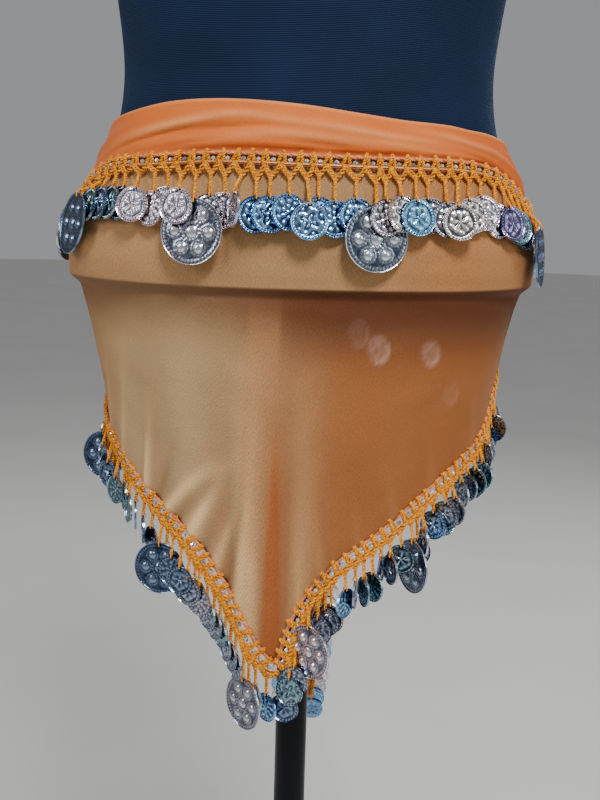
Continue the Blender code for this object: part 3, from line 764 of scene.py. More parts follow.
def cloth_sheet(name, columns, rows, place, tone):
    """A thin shell over a grid. place(across, up) gives its points; the map holds metres along the
    cloth, for the weave, and the tone layer its colour: the dye, with painted light and shade laid in."""
    shape = bmesh.new()
    weave_map = shape.loops.layers.uv.new("cloth_metres")
    dye_and_shading = shape.verts.layers.float_color.new("tone")
    grid = []
    for row in range(rows + 1):
        line = []
        for column in range(columns + 1):
            across, up = column / columns, row / rows
            corner = shape.verts.new(place(across, up))
            corner[dye_and_shading] = (*tone(across, up), 1.0)
            line.append(corner)
        grid.append(line)
    rises, runs = [0.0], [0.0]
    for lower, upper in zip(grid, grid[1:]):
        rises.append(rises[-1] + (upper[columns // 2].co - lower[columns // 2].co).length)
    for left, right in zip(grid[rows // 2], grid[rows // 2][1:]):
        runs.append(runs[-1] + (right.co - left.co).length)
    for row in range(rows):
        for column in range(columns):
            corners = ((column, row), (column + 1, row), (column + 1, row + 1), (column, row + 1))
            face = shape.faces.new([grid[up][across] for across, up in corners])
            for loop, (across, up) in zip(face.loops, corners):
                loop[weave_map].uv = (runs[across], rises[up])
    return smooth_mesh(name, shape)


def thicken(piece):
    wall = piece.modifiers.new("thickness", "SOLIDIFY")
    wall.thickness = CLOTH_THICKNESS
    wall.offset = 0.0
    wall.use_even_offset = False


def crepe_cloth(name, alpha, contrast):
    """Semi-sheer crepe: its tone, the dye with painted light and shade laid in, broken by the crinkle of
    its hard-twisted threads.
    """
    cloth = finish(name, GOLDEN, 0.66, Sheen_Weight=0.08, Sheen_Roughness=0.35, Sheen_Tint=CREPE_SHEEN,
                   Specular_IOR_Level=0.22, Alpha=alpha)
    dye_and_shading = add_node(cloth, "Attribute", attribute_name="tone").outputs["Color"]
    weave = add_node(cloth, "UVMap", uv_map="cloth_metres").outputs["UV"]
    aslant = add_node(cloth, "Mapping", {"Vector": weave}, Rotation=(0.0, 0.0, CRINKLE_SLANT),
                      Scale=(1.0, 0.35, 1.0)).outputs["Vector"]
    crinkle = noise_over(cloth, aslant, 1700.0, 3.0)
    threads = bands_over(cloth, aslant, "X", THREAD_PITCH, Distortion=7.0, Detail=2.0, Detail_Scale=2.0)
    grain = add_node(cloth, "Mix", {"A": crinkle, "B": threads}, Factor=0.22).outputs[0]
    shades = remapped(cloth, grain, 0.25, 0.75, 1 - contrast, 1 + contrast)
    wander = remapped(cloth, noise_over(cloth, weave, 34.0, 3.0), 0.3, 0.7, 0.95, 1.05)
    depth = add_node(cloth, "Math", {0: shades, 1: wander}, operation="MULTIPLY").outputs[0]
    coloured = add_node(cloth, "VectorMath", {0: dye_and_shading, "Scale": depth}, operation="SCALE")
    feed(cloth, "Base Color", coloured.outputs[0])
    emboss(cloth, grain, CREPE_RELIEF)
    return cloth


def wrap_angle(across):
    """Columns lie closest at the point, where the folds are narrowest."""
    centred = 2 * across - 1
    return -4.0 * (1 - centred**2) + WRAP_END * (0.62 * centred + 0.38 * centred**3)


def wrap_height(angle, up):
    """Rows lie closest on both sides of the form's edge, where the cloth turns sharply."""
    top = fold_height(angle) - TURN_HEIGHT - FLAP_TAIL
    bottom = edge_height(angle)
    turn = max(0.0, bottom + 0.012)
    if up < FREE_SHARE:
        return turn - (turn - bottom) * (1 - up / FREE_SHARE) ** 1.5
    return turn + (top - turn) * ((up - FREE_SHARE) / (1 - FREE_SHARE)) ** 1.4


def wrap_place(across, up):
    angle = wrap_angle(across)
    height = wrap_height(angle, up)
    return cloth_point(angle, height, CLOTH_OUT + small_relief(angle, height))[0]


def wrap_grid_tone(across, up):
    angle = wrap_angle(across)
    return wrap_tone(angle, wrap_height(angle, up))


sheer_crepe = crepe_cloth("sheer_crepe", 0.93, 0.27)
wrap = add_piece(
    "scarf_wrap", cloth_sheet("scarf_wrap", WRAP_COLUMNS, WRAP_ROWS, wrap_place, wrap_grid_tone),
    sheer_crepe, node="scarf_front_drape", also=("scarf_left_wrap", "scarf_right_wrap"))
thicken(wrap)


# ---------------------------------------------------------------- scarf: the flap
# The triangle's long edge, turned down outwards over the top of the wrap, so that its hem and the
# upper trim lie round the hips. Pulled towards the knot, it has slanting drag folds.
FLAP_ROWS = 26
FLAP_BILLOW = 0.0008
FLAP_RIPPLE = 0.0004
FACE_SHARE = 0.80
OVER_SHARE = 0.92
DragFold = namedtuple("DragFold", "angle up slope width depth length")
# up is the share of the way from hem to fold; slope is how much of that is climbed in a degree.
DRAG_FOLDS = table(
    DragFold,
    (-63, 0.28, 0.011, 0.05, -0.0015, 13),
    (-50, 0.44, 0.009, 0.045, -0.0013, 15),
    (-42, 0.22, 0.006, 0.05, -0.0013, 12),
    (-30, 0.52, 0.004, 0.04, -0.0010, 14),
    (-19, 0.14, 0.001, 0.045, -0.0012, 9),
    (-5, 0.13, -0.001, 0.04, -0.0013, 9),
    (8, 0.26, -0.003, 0.045, -0.0010, 12),
    (17, 0.12, -0.001, 0.04, -0.0012, 8),
    (31, 0.15, -0.002, 0.045, -0.0012, 8),
    (45, 0.30, -0.007, 0.045, -0.0011, 10),
    (62, 0.22, -0.010, 0.05, -0.0013, 9),
    (-60, 0.35, 0.012, 0.10, 0.0016, 18),
    (-44, 0.62, 0.007, 0.08, 0.0013, 24),
    (-30, 0.30, 0.005, 0.09, 0.0010, 22),
    (-12, 0.70, -0.004, 0.08, 0.0009, 24),
    (2, 0.40, -0.003, 0.10, 0.0010, 20),
    (24, 0.60, -0.005, 0.09, 0.0012, 22),
    (40, 0.32, -0.006, 0.08, 0.0011, 18),
    (56, 0.62, -0.010, 0.10, 0.0014, 14),
    (72, 0.45, -0.012, 0.10, 0.0014, 14),
    (-84, 0.55, 0.010, 0.12, 0.0014, 14),
    (-108, 0.45, 0.006, 0.10, 0.0013, 20),
    (-132, 0.60, 0.004, 0.12, 0.0014, 18),
    (100, 0.55, -0.006, 0.10, 0.0013, 20),
    (126, 0.40, -0.005, 0.12, 0.0014, 18),
)
FLAP_BRIGHT = Tone(0.72, 0.158, 0.018)
FLAP_DEEP = Tone(0.50, 0.088, 0.008)
FLAP_EDGE = Tone(0.86, 0.42, 0.16)
FLAP_SHADE = Tone(0.30, 0.040, 0.002)


def drag_depth(angle, up):
    """How far the drag folds push the flap out, or let it in, at a place."""
    depth = 0.0
    for fold in DRAG_FOLDS:
        aside = angle - fold.angle
        across = (up - fold.up - fold.slope * aside) / fold.width
        depth += fold.depth * bell(aside / fold.length) * bell(across)
    return depth


def hem_pinch(angle, up):
    """The stitches draw a narrow groove into the flap just above its hem, deeper in some places."""
    depth = 0.00105 + 0.0011 * noise.noise(Vector((angle * 0.09, 0.0, 11.0)))
    return max(depth, 0.0) * bell((up - 0.10) / 0.055) * ease((angle + 62) / 30)


def flap_billow(angle):
    """The flap stands a little off the wrap between its fold and its hem, more in some places."""
    long_wave = 0.75 * math.sin(math.radians(5.2 * angle + 40))
    short_wave = 0.5 * math.sin(math.radians(11 * angle))
    return FLAP_BILLOW * (1 + long_wave + short_wave)


def flap_height(angle, up):
    """The rows climb the outside, go over the turn, and the last of them run down behind."""
    hem, turn_foot = hem_height(angle), fold_height(angle) - TURN_HEIGHT
    if up <= FACE_SHARE:
        return hem + (turn_foot - hem) * up / FACE_SHARE
    if up <= OVER_SHARE:
        return turn_foot + TURN_HEIGHT * math.sin(math.pi * (up - FACE_SHARE) / (OVER_SHARE - FACE_SHARE))
    return turn_foot - FLAP_TAIL * (up - OVER_SHARE) / (1 - OVER_SHARE)


def flap_place(across, up):
    angle = wrap_angle(across)
    face = min(up / FACE_SHARE, 1.0)
    turn = ease((up - FACE_SHARE) / (OVER_SHARE - FACE_SHARE))
    bow = math.sin(math.pi * face)
    ripple = FLAP_RIPPLE * noise.noise(Vector((angle * 0.12, face * 1.5, 3.0)))
    stand = bow * flap_billow(angle) + drag_depth(angle, face) * bow**0.5 + ripple
    out = FLAP_OUT + (stand - hem_pinch(angle, face)) * (1 - turn) + (CLOTH_OUT - FLAP_OUT) * turn
    return ring_point(flap_height(angle, up), angle, out + wrap_lift(angle))[0]


def flap_tone(across, up):
    angle = wrap_angle(across)
    face = min(up / FACE_SHARE, 1.0)
    side = ease((abs(angle + 4) - 40) / 45)
    depth = drag_depth(angle, face)
    return washed(
        blend_tones(FLAP_BRIGHT, FLAP_DEEP, 0.15 + 0.7 * side),
        (FLAP_EDGE, 0.5 * bell((up - 0.84) / 0.035)),
        # painted highlight on the drag folds' ridges, painted shade in their troughs and in the groove
        # above the hem
        (RIDGE_HIGHLIGHT, 160 * max(depth, 0.0) * (1 - side)),
        (FLAP_SHADE, 620 * max(-depth, 0.0)),
        (FLAP_SHADE, 900 * hem_pinch(angle, face)),
    )


double_crepe = crepe_cloth("double_crepe", 1.0, 0.10)
flap = add_piece(
    "scarf_flap", cloth_sheet("scarf_flap", WRAP_COLUMNS, FLAP_ROWS, flap_place, flap_tone),
    double_crepe, node="scarf_front_flap", also=("scarf_left_flap", "scarf_right_flap"))
thicken(flap)


# ---------------------------------------------------------------- scarf: the knot
# The triangle's two long corners, drawn together behind the form and tied once: each comes in as a
# gathered band, goes over or under the other, and turns down to hang.
KNOT_HEIGHT = 0.059
KNOT_HALF_HEIGHT = 0.0225
KNOT_OUT = 0.0176
END_TUCK = 0.0021
BAND_PLEATS = 11
knot_centre = ring_point(KNOT_HEIGHT, 180.0, KNOT_OUT)[0]
BandStop = namedtuple("BandStop", "share x y z wide thick")
KNOT_BANDS = (
    ("knot_core", table(
        BandStop,
        (0.0, -0.0200, 0.0000, 0.0000, 0.0060, 0.0040),
        (0.25, -0.0150, 0.0000, 0.0005, 0.0165, 0.0100),
        (0.5, 0.0000, 0.0005, 0.0000, 0.0185, 0.0125),
        (0.75, 0.0150, 0.0000, -0.0005, 0.0165, 0.0100),
        (1.0, 0.0200, 0.0000, 0.0000, 0.0060, 0.0040),
    ), (0.068, 0.070)),
    ("knot_under_band", table(
        BandStop,
        (0.0, 0.0295, -0.0035, 0.0010, 0.0185, 0.0022),
        (0.22, 0.0215, 0.0020, -0.0010, 0.0140, 0.0052),
        (0.50, 0.0060, 0.0085, -0.0090, 0.0088, 0.0062),
        (0.78, -0.0080, 0.0070, -0.0140, 0.0082, 0.0060),
        (1.0, -0.0120, 0.0020, -0.0225, 0.0082, 0.0040),
    ), (0.045, 0.080)),
    ("knot_over_band", table(
        BandStop,
        (0.0, -0.0295, -0.0035, 0.0010, 0.0185, 0.0022),
        (0.20, -0.0215, 0.0040, 0.0035, 0.0140, 0.0055),
        (0.45, -0.0065, 0.0125, 0.0060, 0.0110, 0.0062),
        (0.68, 0.0075, 0.0125, 0.0000, 0.0100, 0.0062),
        (0.86, 0.0120, 0.0080, -0.0120, 0.0088, 0.0058),
        (1.0, 0.0115, 0.0015, -0.0225, 0.0080, 0.0042),
    ), (0.045, 0.080)),
)


def band_place(stops):
    """Places round and along a band of cloth bunched into pleats."""
    x, y, z, wide, thick = (smooth_curve(stops, column) for column in ("x", "y", "z", "wide", "thick"))

    def middle(share):
        return Vector((x(share), y(share), z(share)))

    def place(across, up):
        here = middle(up)
        ahead = (middle(min(up + 0.01, 1.0)) - middle(max(up - 0.01, 0.0))).normalized()
        side = ahead.cross(Vector((here.x * 0.6, 0.02, here.z * 0.6))).normalized()
        face = side.cross(ahead).normalized()
        turn = 2 * math.pi * across
        broad = math.sin(5 * turn - 7.0 * up + stops[0].x * 90)
        pleat = 1 + 0.085 * math.sin(BAND_PLEATS * turn + 4.0 * up) + 0.05 * broad
        return (knot_centre + here + side * wide(up) * math.cos(turn) * pleat
                + face * thick(up) * math.sin(turn) * pleat)
    return place


def knot_tone(across, up):
    pleat = math.sin(BAND_PLEATS * 2 * math.pi * across + 4.0 * up)
    # pleat crests painted lighter as highlight, troughs painted darker as shade
    return washed(FLAP_DEEP, (FLAP_BRIGHT, 0.6 + 0.3 * pleat), (FOLD_SHADE, 0.25 * max(-pleat, 0.0)))


for name, stops, flat in KNOT_BANDS:
    band = add_piece(name, cloth_sheet(name, 132, 40, band_place(stops), knot_tone), double_crepe,
                     node="scarf_knot")


# ---------------------------------------------------------------- scarf: the hanging ends
# Below the knot the corners hang in soft pleats, the right one over the left, and run out to points.
END_PLEATS = 2.5
EndSection = namedtuple("EndSection", "share half_width pleat")
END_SECTIONS = table(
    EndSection,
    (0.00, 0.0080, 0.0015),
    (0.12, 0.0115, 0.0020),
    (0.30, 0.0205, 0.0045),
    (0.55, 0.0190, 0.0045),
    (0.80, 0.0120, 0.0030),
    (1.00, 0.0030, 0.0000),
)
HangingEnd = namedtuple("HangingEnd", "name side length start drift out flat")
HANGING_ENDS = table(
    HangingEnd,
    ("left", -1, 0.335, 0.0120, 0.013, 0.003, (0.060, 0.335)),
    ("right", 1, 0.445, 0.0115, -0.006, 0.020, (0.060, 0.445)),
)
end_half_width = smooth_curve(END_SECTIONS, "half_width")
end_pleat = smooth_curve(END_SECTIONS, "pleat")


def pleat_turn(across, down):
    return 2 * math.pi * END_PLEATS * across + 0.6 + 1.2 * down


def end_point(end, across, down):
    """Point on a hanging end: across runs from its inner edge, 0, to its outer one, 1."""
    wave = end_pleat(down) * math.sin(pleat_turn(across, down))
    soft = 0.0007 * noise.noise(Vector((across * 3.0, down * 9.0, end.side * 4.0))) * ease(down * 6)
    return Vector((
        end.side * (end.start + end.drift * down + end_half_width(down) * (2 * across - 1)),
        knot_centre.y + end.out * ease(down * 4) + wave + soft,
        knot_centre.z - KNOT_HALF_HEIGHT - GAP + END_TUCK - end.length * down,
    ))


def end_tone(across, up):
    crest = math.sin(pleat_turn(across, 1 - up))
    # painted highlight on the pleats' crests
    return washed(GOLDEN, (ORANGE, 0.75), (RIDGE_HIGHLIGHT, 0.22 * max(crest, 0.0)))


for end in HANGING_ENDS:
    def place(across, up, end=end):
        return end_point(end, across if end.side < 0 else 1 - across, 1 - up)
    name = f"scarf_{end.name}_end_cloth"
    piece = add_piece(name, cloth_sheet(name, 56, 110, place, end_tone), sheer_crepe,
                      node=f"scarf_{end.name}_end")
    thicken(piece)


# ---------------------------------------------------------------- hem and crochet trim
# Golden orange yarn, crocheted along every edge over a rolled salmon hem. A row of clear beads and a
# gold cord run below the hem; from each stitch two chains part and meet their neighbours in a point,
# and a twisted strand hangs from the point with a coin on its end.
NET_START = 0.0052
NET_OUT = 0.0014
BEAD_LINE = 0.0031
HEM_ROLL = 0.00098
STITCH_RISE = 0.0019
STITCH_PLAY = (0.0002, 0.0010)
STITCH_LEAN = 0.08
CORD_RADIUS = 0.00046
THREAD_RADIUS = 0.00062
BEAD_SHAPE = ((-1.0, 0.45), (-0.25, 1.0), (0.25, 1.0), (1.0, 0.45))
BEAD_SIDES = 7
YARN_RADIUS = 0.00060
YARN_SHARP = 70
KNOT_RADIUS = YARN_RADIUS * 1.1
KNOT_TURNS = 6
CHAIN_WIDTH = 0.00135
STRAND_SPREAD = 0.00074
BEAD_RADIUS = 0.00128
RAIL_STEPS = 900
Spot = namedtuple("Spot", "point outward")


def edge_metric(height_at, angle):
    """Metres of run and of rise in a degree, along an edge of the scarf."""
    before, after = angle - 0.4, angle + 0.4
    first = ring_point(height_at(before), before, CLOTH_OUT)[0]
    second = ring_point(height_at(after), after, CLOTH_OUT)[0]
    return (second - first).to_2d().length / 0.8, (second.z - first.z) / 0.8


def below_edge(height_at, angle, down):
    """A place below an edge: square to it over the hem and the beads, and straight down from there."""
    run, rise = edge_metric(height_at, angle)
    slant = math.hypot(run, rise)
    square = min(down, NET_START)
    return angle + square * rise / slant / run, height_at(angle) - square * run / slant - (down - square)


def upper_spot(angle, down, out):
    """A place by the flap's hem: on its face above the hem, and settling on the wrap below it."""
    angle, height = below_edge(hem_height, angle, down)
    rest = FLAP_OUT + (CLOTH_OUT + 0.0012 - FLAP_OUT) * ease(down / 0.012)
    return Spot(*ring_point(height, angle, rest + out + wrap_lift(angle)))


def lower_spot(angle, down, out):
    """A place by the wrap's lower edge."""
    angle, height = below_edge(edge_height, angle, down)
    return Spot(*cloth_point(angle, height, CLOTH_OUT + out))


def even_angles(spot, start, end, pitch):
    """Angles a pitch apart along an edge, from start to end."""
    angles, walks, before = [start], [0.0], spot(start, 0.0, 0.0).point
    for index in range(1, RAIL_STEPS + 1):
        angles.append(start + (end - start) / RAIL_STEPS * index)
        point = spot(angles[-1], 0.0, 0.0).point
        walks.append(walks[-1] + (point - before).length)
        before = point
    count = max(round(walks[-1] / pitch), 1)
    return [
        angles[min(bisect_right(walks, walks[-1] * index / count), RAIL_STEPS)]
        for index in range(count + 1)
    ]


def corners_round(shape, middle, side, rise, radius, count):
    """A ring of corners round a middle, in the plane of side and rise."""
    return [
        shape.verts.new(middle + (side * math.cos(turn) + rise * math.sin(turn)) * radius)
        for turn in turns(count)
    ]


def along_at(points, index):
    """From the point before to the point after."""
    return points[min(index + 1, len(points) - 1)] - points[max(index - 1, 0)]


def tube(shape, points, radius, sides=5):
    """A closed tube through points."""
    rings = []
    side = along_at(points, 0).normalized().orthogonal().normalized()
    for index, point in enumerate(points):
        ahead = along_at(points, index).normalized()
        side = (side - ahead * side.dot(ahead)).normalized()
        rings.append(corners_round(shape, point, side, ahead.cross(side), radius, sides))
    skin_over(shape, rings)


def spread_points(points, step):
    """Points evenly along a broken line."""
    lengths = [(after - before).length for before, after in zip(points, points[1:])]
    total = sum(lengths)
    count = max(round(total / step), 3)
    spaced = []
    for index in range(count + 1):
        walk = total * index / count
        leg = 0
        while leg < len(lengths) - 1 and walk > lengths[leg]:
            walk -= lengths[leg]
            leg += 1
        spaced.append(points[leg].lerp(points[leg + 1], min(walk / max(lengths[leg], 1e-9), 1.0)))
    return spaced


Lay = namedtuple("Lay", "plies plaited width depth pitch radius steps")
PLAITED = Lay(3, True, CHAIN_WIDTH, 0.00058, 0.0058, YARN_RADIUS * 0.98, 8)
TWISTED = Lay(2, False, STRAND_SPREAD, STRAND_SPREAD, 0.0034, YARN_RADIUS, 5)
LOOSELY_TWISTED = Lay(2, False, 0.00105, 0.00062, 0.0056, YARN_RADIUS, 7)
HEM_WRAPS = Lay(2, False, 0.00048, 0.00048, 0.0026, HEM_ROLL * 0.9, 4)


def lay_yarns(shape, points, outward, lay, sides, phase, bulk=1.0):
    """Yarns twisted or plaited about a line; a plait lies flat on the cloth. Bulk makes them thicker."""
    middle = spread_points(points, lay.pitch * bulk / lay.steps)
    for ply in range(lay.plies):
        course = []
        for index, point in enumerate(middle):
            ahead = along_at(middle, index)
            side = ahead.cross(outward).normalized()
            face = side.cross(ahead).normalized()
            turn = phase + 2 * math.pi * (ply / lay.plies + index / lay.steps)
            rise = math.sin(2 * turn) if lay.plaited else math.cos(turn)
            course.append(point + (side * lay.width * math.sin(turn) + face * lay.depth * rise) * bulk)
        tube(shape, course, lay.radius * bulk, sides)


yarn = finish("golden_orange_yarn", (0.85, 0.32, 0.01), 0.5, Sheen_Weight=0.1, Sheen_Roughness=0.4,
              Sheen_Tint=(1.0, 0.70, 0.20, 1.0), Specular_IOR_Level=0.3)
mottle(yarn, (0.66, 0.150, 0.002), (1.0, 0.48, 0.012), 620.0)
roughen(yarn, 5200.0, 2.0, 0.00010)
hem_yarn = finish("salmon_hem_yarn", (0.72, 0.24, 0.06), 0.6, Sheen_Weight=0.3, Sheen_Roughness=0.4)
mottle(hem_yarn, (0.55, 0.12, 0.030), (0.92, 0.36, 0.13), 420.0)
gold_cord = finish("gold_cord", (0.90, 0.40, 0.08), 0.48, Metallic=0.35)
roughen(gold_cord, 2400.0, 1.0, 0.00012)
rust_cord = finish("rust_cord", (0.20, 0.035, 0.010), 0.6)
mottle(rust_cord, (0.13, 0.020, 0.007), (0.30, 0.06, 0.018), 600.0)
bead_glass = finish("clear_bead", (0.80, 0.80, 0.84), 0.05, Metallic=0.35, Specular_IOR_Level=0.9,
                    Transmission_Weight=0.35, IOR=1.55)
mottle(bead_glass, (0.30, 0.30, 0.35), (1.0, 1.0, 1.0), 260.0, 1.0)


def faceted_bead(shape, middle, along, radius, half_length):
    """A cut bead: two cones with flat ends, strung on the line along it."""
    side = along.orthogonal().normalized()
    skin_over(shape, [
        corners_round(shape, middle + along * half_length * step, side, along.cross(side), radius * wide,
                      BEAD_SIDES)
        for step, wide in BEAD_SHAPE
    ])


# angle: where along its edge a strand hangs. point: how far below the edge its chains meet. fall:
# from there to the coin. The coin is turned about its strand and rolled in its plane, in degrees,
# and lies on the coins of lower layers.
# tint: the coin's colour, partly its own and partly painted reflection and shade; large: a domed coin.
Hanging = namedtuple("Hanging", "angle point fall turn roll layer tint large")
Trim = namedtuple("Trim", "name spot place_coin coins coin_size sides bulk")


def crochet_trim(trim, hangings, chance):
    """Yarn, cords and beads of one length of trim. Returns the points its strands hang from."""
    spot, sides, bulk = trim.spot, trim.sides, trim.bulk
    angles = [hanging.angle for hanging in hangings]
    nodes = [(before + after) / 2 for before, after in zip(angles, angles[1:])]
    nodes = [2 * angles[0] - nodes[0], *nodes, 2 * angles[-1] - nodes[-1]]
    shapes = {label: bmesh.new() for label in ("yarn", "hem", "cord", "thread", "beads")}
    apexes = []
    for hanging, angle, following in zip(hangings, nodes, nodes[1:]):
        step = following - angle
        outward = spot(angle, 0.0, 0.0).outward

        def yarns(lay, *places, label="yarn", bulk=bulk, twist=True):
            phase = chance.uniform(0, 6) if twist else 0.0
            points = [spot(*place).point for place in places]
            lay_yarns(shapes[label], points, outward, lay, sides, phase, bulk)

        # the stitch over the hem: two legs from its top down to the gold cord
        lean = chance.uniform(-STITCH_LEAN, STITCH_LEAN) * step
        top = (angle + lean + 0.10 * step, -STITCH_RISE - chance.uniform(*STITCH_PLAY), 0.0010)
        for foot, bulge in ((-0.19, 0.0023), (0.20, 0.0018)):
            yarns(TWISTED, top, (angle + lean + (0.06 + 0.5 * foot) * step, 0.0006, bulge),
                  (angle + foot * step, NET_START - 0.0008, NET_OUT))
        # the knot on the gold cord that both chains spring from
        for height, reach in ((-0.0005, 0.13), (0.0005, 0.11)):
            tube(shapes["yarn"], [
                spot(angle - 0.04 * step + reach * step * math.cos(turn), NET_START + height,
                     NET_OUT + 0.0008 * math.sin(turn)).point
                for turn in turns(KNOT_TURNS, 1)
            ], KNOT_RADIUS * bulk, sides)
        # two chains down to the point, one plaited and one of looser loops
        apex = (hanging.angle, hanging.point, NET_OUT)
        for root, bow, lay in ((angle, 0.05, PLAITED), (following, -0.05, LOOSELY_TWISTED)):
            half_way = ((root + hanging.angle) / 2 - bow * step, (NET_START + hanging.point) * 0.5, 0.0020)
            yarns(lay, (root, NET_START + 0.0003, NET_OUT), half_way, apex)
        # where the work is close, a row of loops fills it out between the chains
        if bulk > 1.0:
            yarns(TWISTED, (angle, NET_START + 0.0012, 0.0010),
                  (angle + 0.5 * step, NET_START + 0.0034, 0.0016),
                  (following, NET_START + 0.0012, 0.0010), bulk=1.0)
        apexes.append(spot(*apex).point)
        # the rolled hem, and the beads, the gold cord and the rust thread below it
        along = (spot(following, BEAD_LINE, 0).point - spot(angle, BEAD_LINE, 0).point).normalized()
        faceted_bead(shapes["beads"], spot((angle + following) / 2, BEAD_LINE, 0.0013).point, along,
                     BEAD_RADIUS * bulk, BEAD_RADIUS * 1.15 * bulk)
        for label, down, sag, radius, out in (
            ("cord", NET_START - 0.0003, 0.0002, CORD_RADIUS, NET_OUT),
            ("thread", NET_START + 0.0009, 0.0003, THREAD_RADIUS, 0.5 * NET_OUT),
        ):
            tube(shapes[label], [
                spot(angle + step * share, down + sag * math.sin(math.pi * share), out).point
                for share in (0.0, 0.33, 0.67, 1.0)
            ], radius)
        yarns(HEM_WRAPS, *((angle + step * share, -0.0002, 0.0005) for share in (0.0, 0.5, 1.0)),
              label="hem", bulk=1.0, twist=False)
    for label, material, slot in (
        ("yarn", yarn, "yarn"), ("hem", hem_yarn, "yarn"), ("cord", gold_cord, "gold_cord"),
        ("thread", rust_cord, "yarn"), ("beads", bead_glass, "clear_bead"),
    ):
        name = f"{trim.name}_{label}"
        mesh = closed_mesh(name, shapes[label], 20 if label == "beads" else YARN_SHARP)
        add_piece(name, mesh, material, node=f"trim_{trim.name}")
    return apexes


# ---------------------------------------------------------------- coins
# Thin coins stamped from silvery metal, darkened in the hollows, each with the mark of a hole by its rim:
# it is not cut, its place is flattened and painted dark as shade. The small ones have a notched border
# round a rosette or scrolls, the large ones seven beaded domes.
SMALL_COIN = 0.0105
LARGE_COIN = 0.0190
COIN_THICKNESS = 0.0006
HOLE_MIDDLE = 0.86
HOLE_RADIUS = 0.075
HOLE_SHADE = 1.2
TARNISH_DEPTH = 0.30
CoinShape = namedtuple("CoinShape", "radius points faces reliefs")


def plateau(r, low, high, soft):
    return ease((r - low) / soft + 0.5) * ease((high - r) / soft + 0.5)


def swell(turn):
    """A wave between 0 and 1."""
    return 0.5 + 0.5 * math.cos(turn)


def border_relief(r, turn, notches):
    """The bright rim of a small coin, and the notches inside it."""
    return max(ease((r - 0.945) / 0.03), plateau(r, 0.81, 0.93, 0.03) * swell(notches * turn) * 0.85)


def rosette_relief(r, turn, notches):
    """Height of the stamp, 0 to 1, on a small coin with nine lumps round a six-petalled flower."""
    lumps = bell((r - 0.60) / 0.105) * swell(9 * turn) ** 1.4
    petals = bell((r - 0.29) / 0.10) * swell(6 * turn + 0.5) * 0.95
    return max(border_relief(r, turn, notches), lumps, petals, bell(r / 0.10))


def scroll_relief(r, turn, notches):
    """A small coin with scrolls that wind round it."""
    winding = bell((r - 0.52 - 0.15 * math.sin(4 * turn)) / 0.085) * 0.9
    curls = bell((r - 0.30 + 0.09 * math.cos(4 * turn)) / 0.08) * swell(8 * turn - math.pi / 2)
    dots = bell((r - 0.70) / 0.06) * swell(11 * turn) ** 2 * 0.9
    return max(border_relief(r, turn, notches), winding, curls, dots, bell(r / 0.10) * 0.9)


def star_relief(r, turn, notches):
    """A small coin with a five-armed star among lumps."""
    arms = ease((0.62 - r) / 0.08) * swell(5 * turn) ** 2 * (1.0 - 0.3 * r)
    between = bell((r - 0.56) / 0.11) * (1 - swell(5 * turn)) ** 2 * 0.9
    return max(border_relief(r, turn, notches), arms, between)


DOMES = [(0.0, 0.0, 0.19)] + [
    (0.56 * math.cos(math.radians(30 + 60 * arm)), 0.56 * math.sin(math.radians(30 + 60 * arm)), 0.155)
    for arm in range(6)
]


def dome_relief(r, turn, notches):
    """The large coin: a dome in the middle and six round it, each in a ring of fine beads."""
    height = max(ease((r - 0.965) / 0.02) * 0.40, bell((r - 0.895) / 0.035) * swell(notches * turn) * 0.45)
    for middle_x, middle_y, size in DOMES:
        x, y = r * math.cos(turn) - middle_x, r * math.sin(turn) - middle_y
        apart = math.hypot(x, y)
        if apart < size:
            height = max(height, math.sqrt(1 - (apart / size) ** 2))
        beads = bell((apart - size * 1.42) / 0.030) * (0.65 + 0.35 * math.cos(14 * math.atan2(y, x)))
        height = max(height, 0.42 * beads)
    return height


def stamped_coin(radius, relief, depth, rings, sides, notches):
    """A coin in its own frame: the hole at the top of +Z, its face towards -Y, its hang point at 0.
    The back is a plain disc, and the relief is kept for the patina. The hole is not cut: its place is
    flattened and given painted shade in the same layer."""
    points, reliefs = [], []

    def corner(r, turn, y, height):
        points.append(Vector((radius * r * math.sin(turn), y, radius * (r * math.cos(turn) - 1))))
        reliefs.append(height)

    middle = relief(0.0, 0.0, notches)
    corner(0.0, 0.0, -middle * depth, middle)
    for r in rings:
        for turn in turns(sides):
            # the hole is painted: its place is flattened and darkened in the patina layer as shade
            hole = bell(math.hypot(r * math.cos(turn) - HOLE_MIDDLE, r * math.sin(turn)) / HOLE_RADIUS)
            height = relief(r, turn, notches) * (1 - hole)
            corner(r, turn, -height * depth, height - HOLE_SHADE * hole)
    half, back = sides // 2, len(points)
    inner, centre = back + sides, back + sides + half
    for r, sunk, count, height in (
        (1.0, 0.0, sides, 0.7), (0.93, -0.0001, half, 0.7), (0.5, 0.0001, half, 0.3),
    ):
        for turn in turns(count):
            corner(r, turn, COIN_THICKNESS + sunk, height)
    faces = [(0, 1 + (side + 1) % sides, 1 + side) for side in range(sides)]
    for low in range(1, back, sides):
        for side in range(sides):
            ahead = (side + 1) % sides
            faces.append((low + side, low + ahead, low + sides + ahead, low + sides + side))
    for side in range(half):
        ahead = (side + 1) % half
        outer = (back + 2 * side, back + 2 * side + 1, back + 2 * ahead)
        faces.append((*outer, inner + ahead, inner + side))
        faces.append((inner + side, inner + ahead, centre + ahead, centre + side))
    faces.append(tuple(range(centre, centre + half)))
    return CoinShape(radius, points, faces, reliefs)


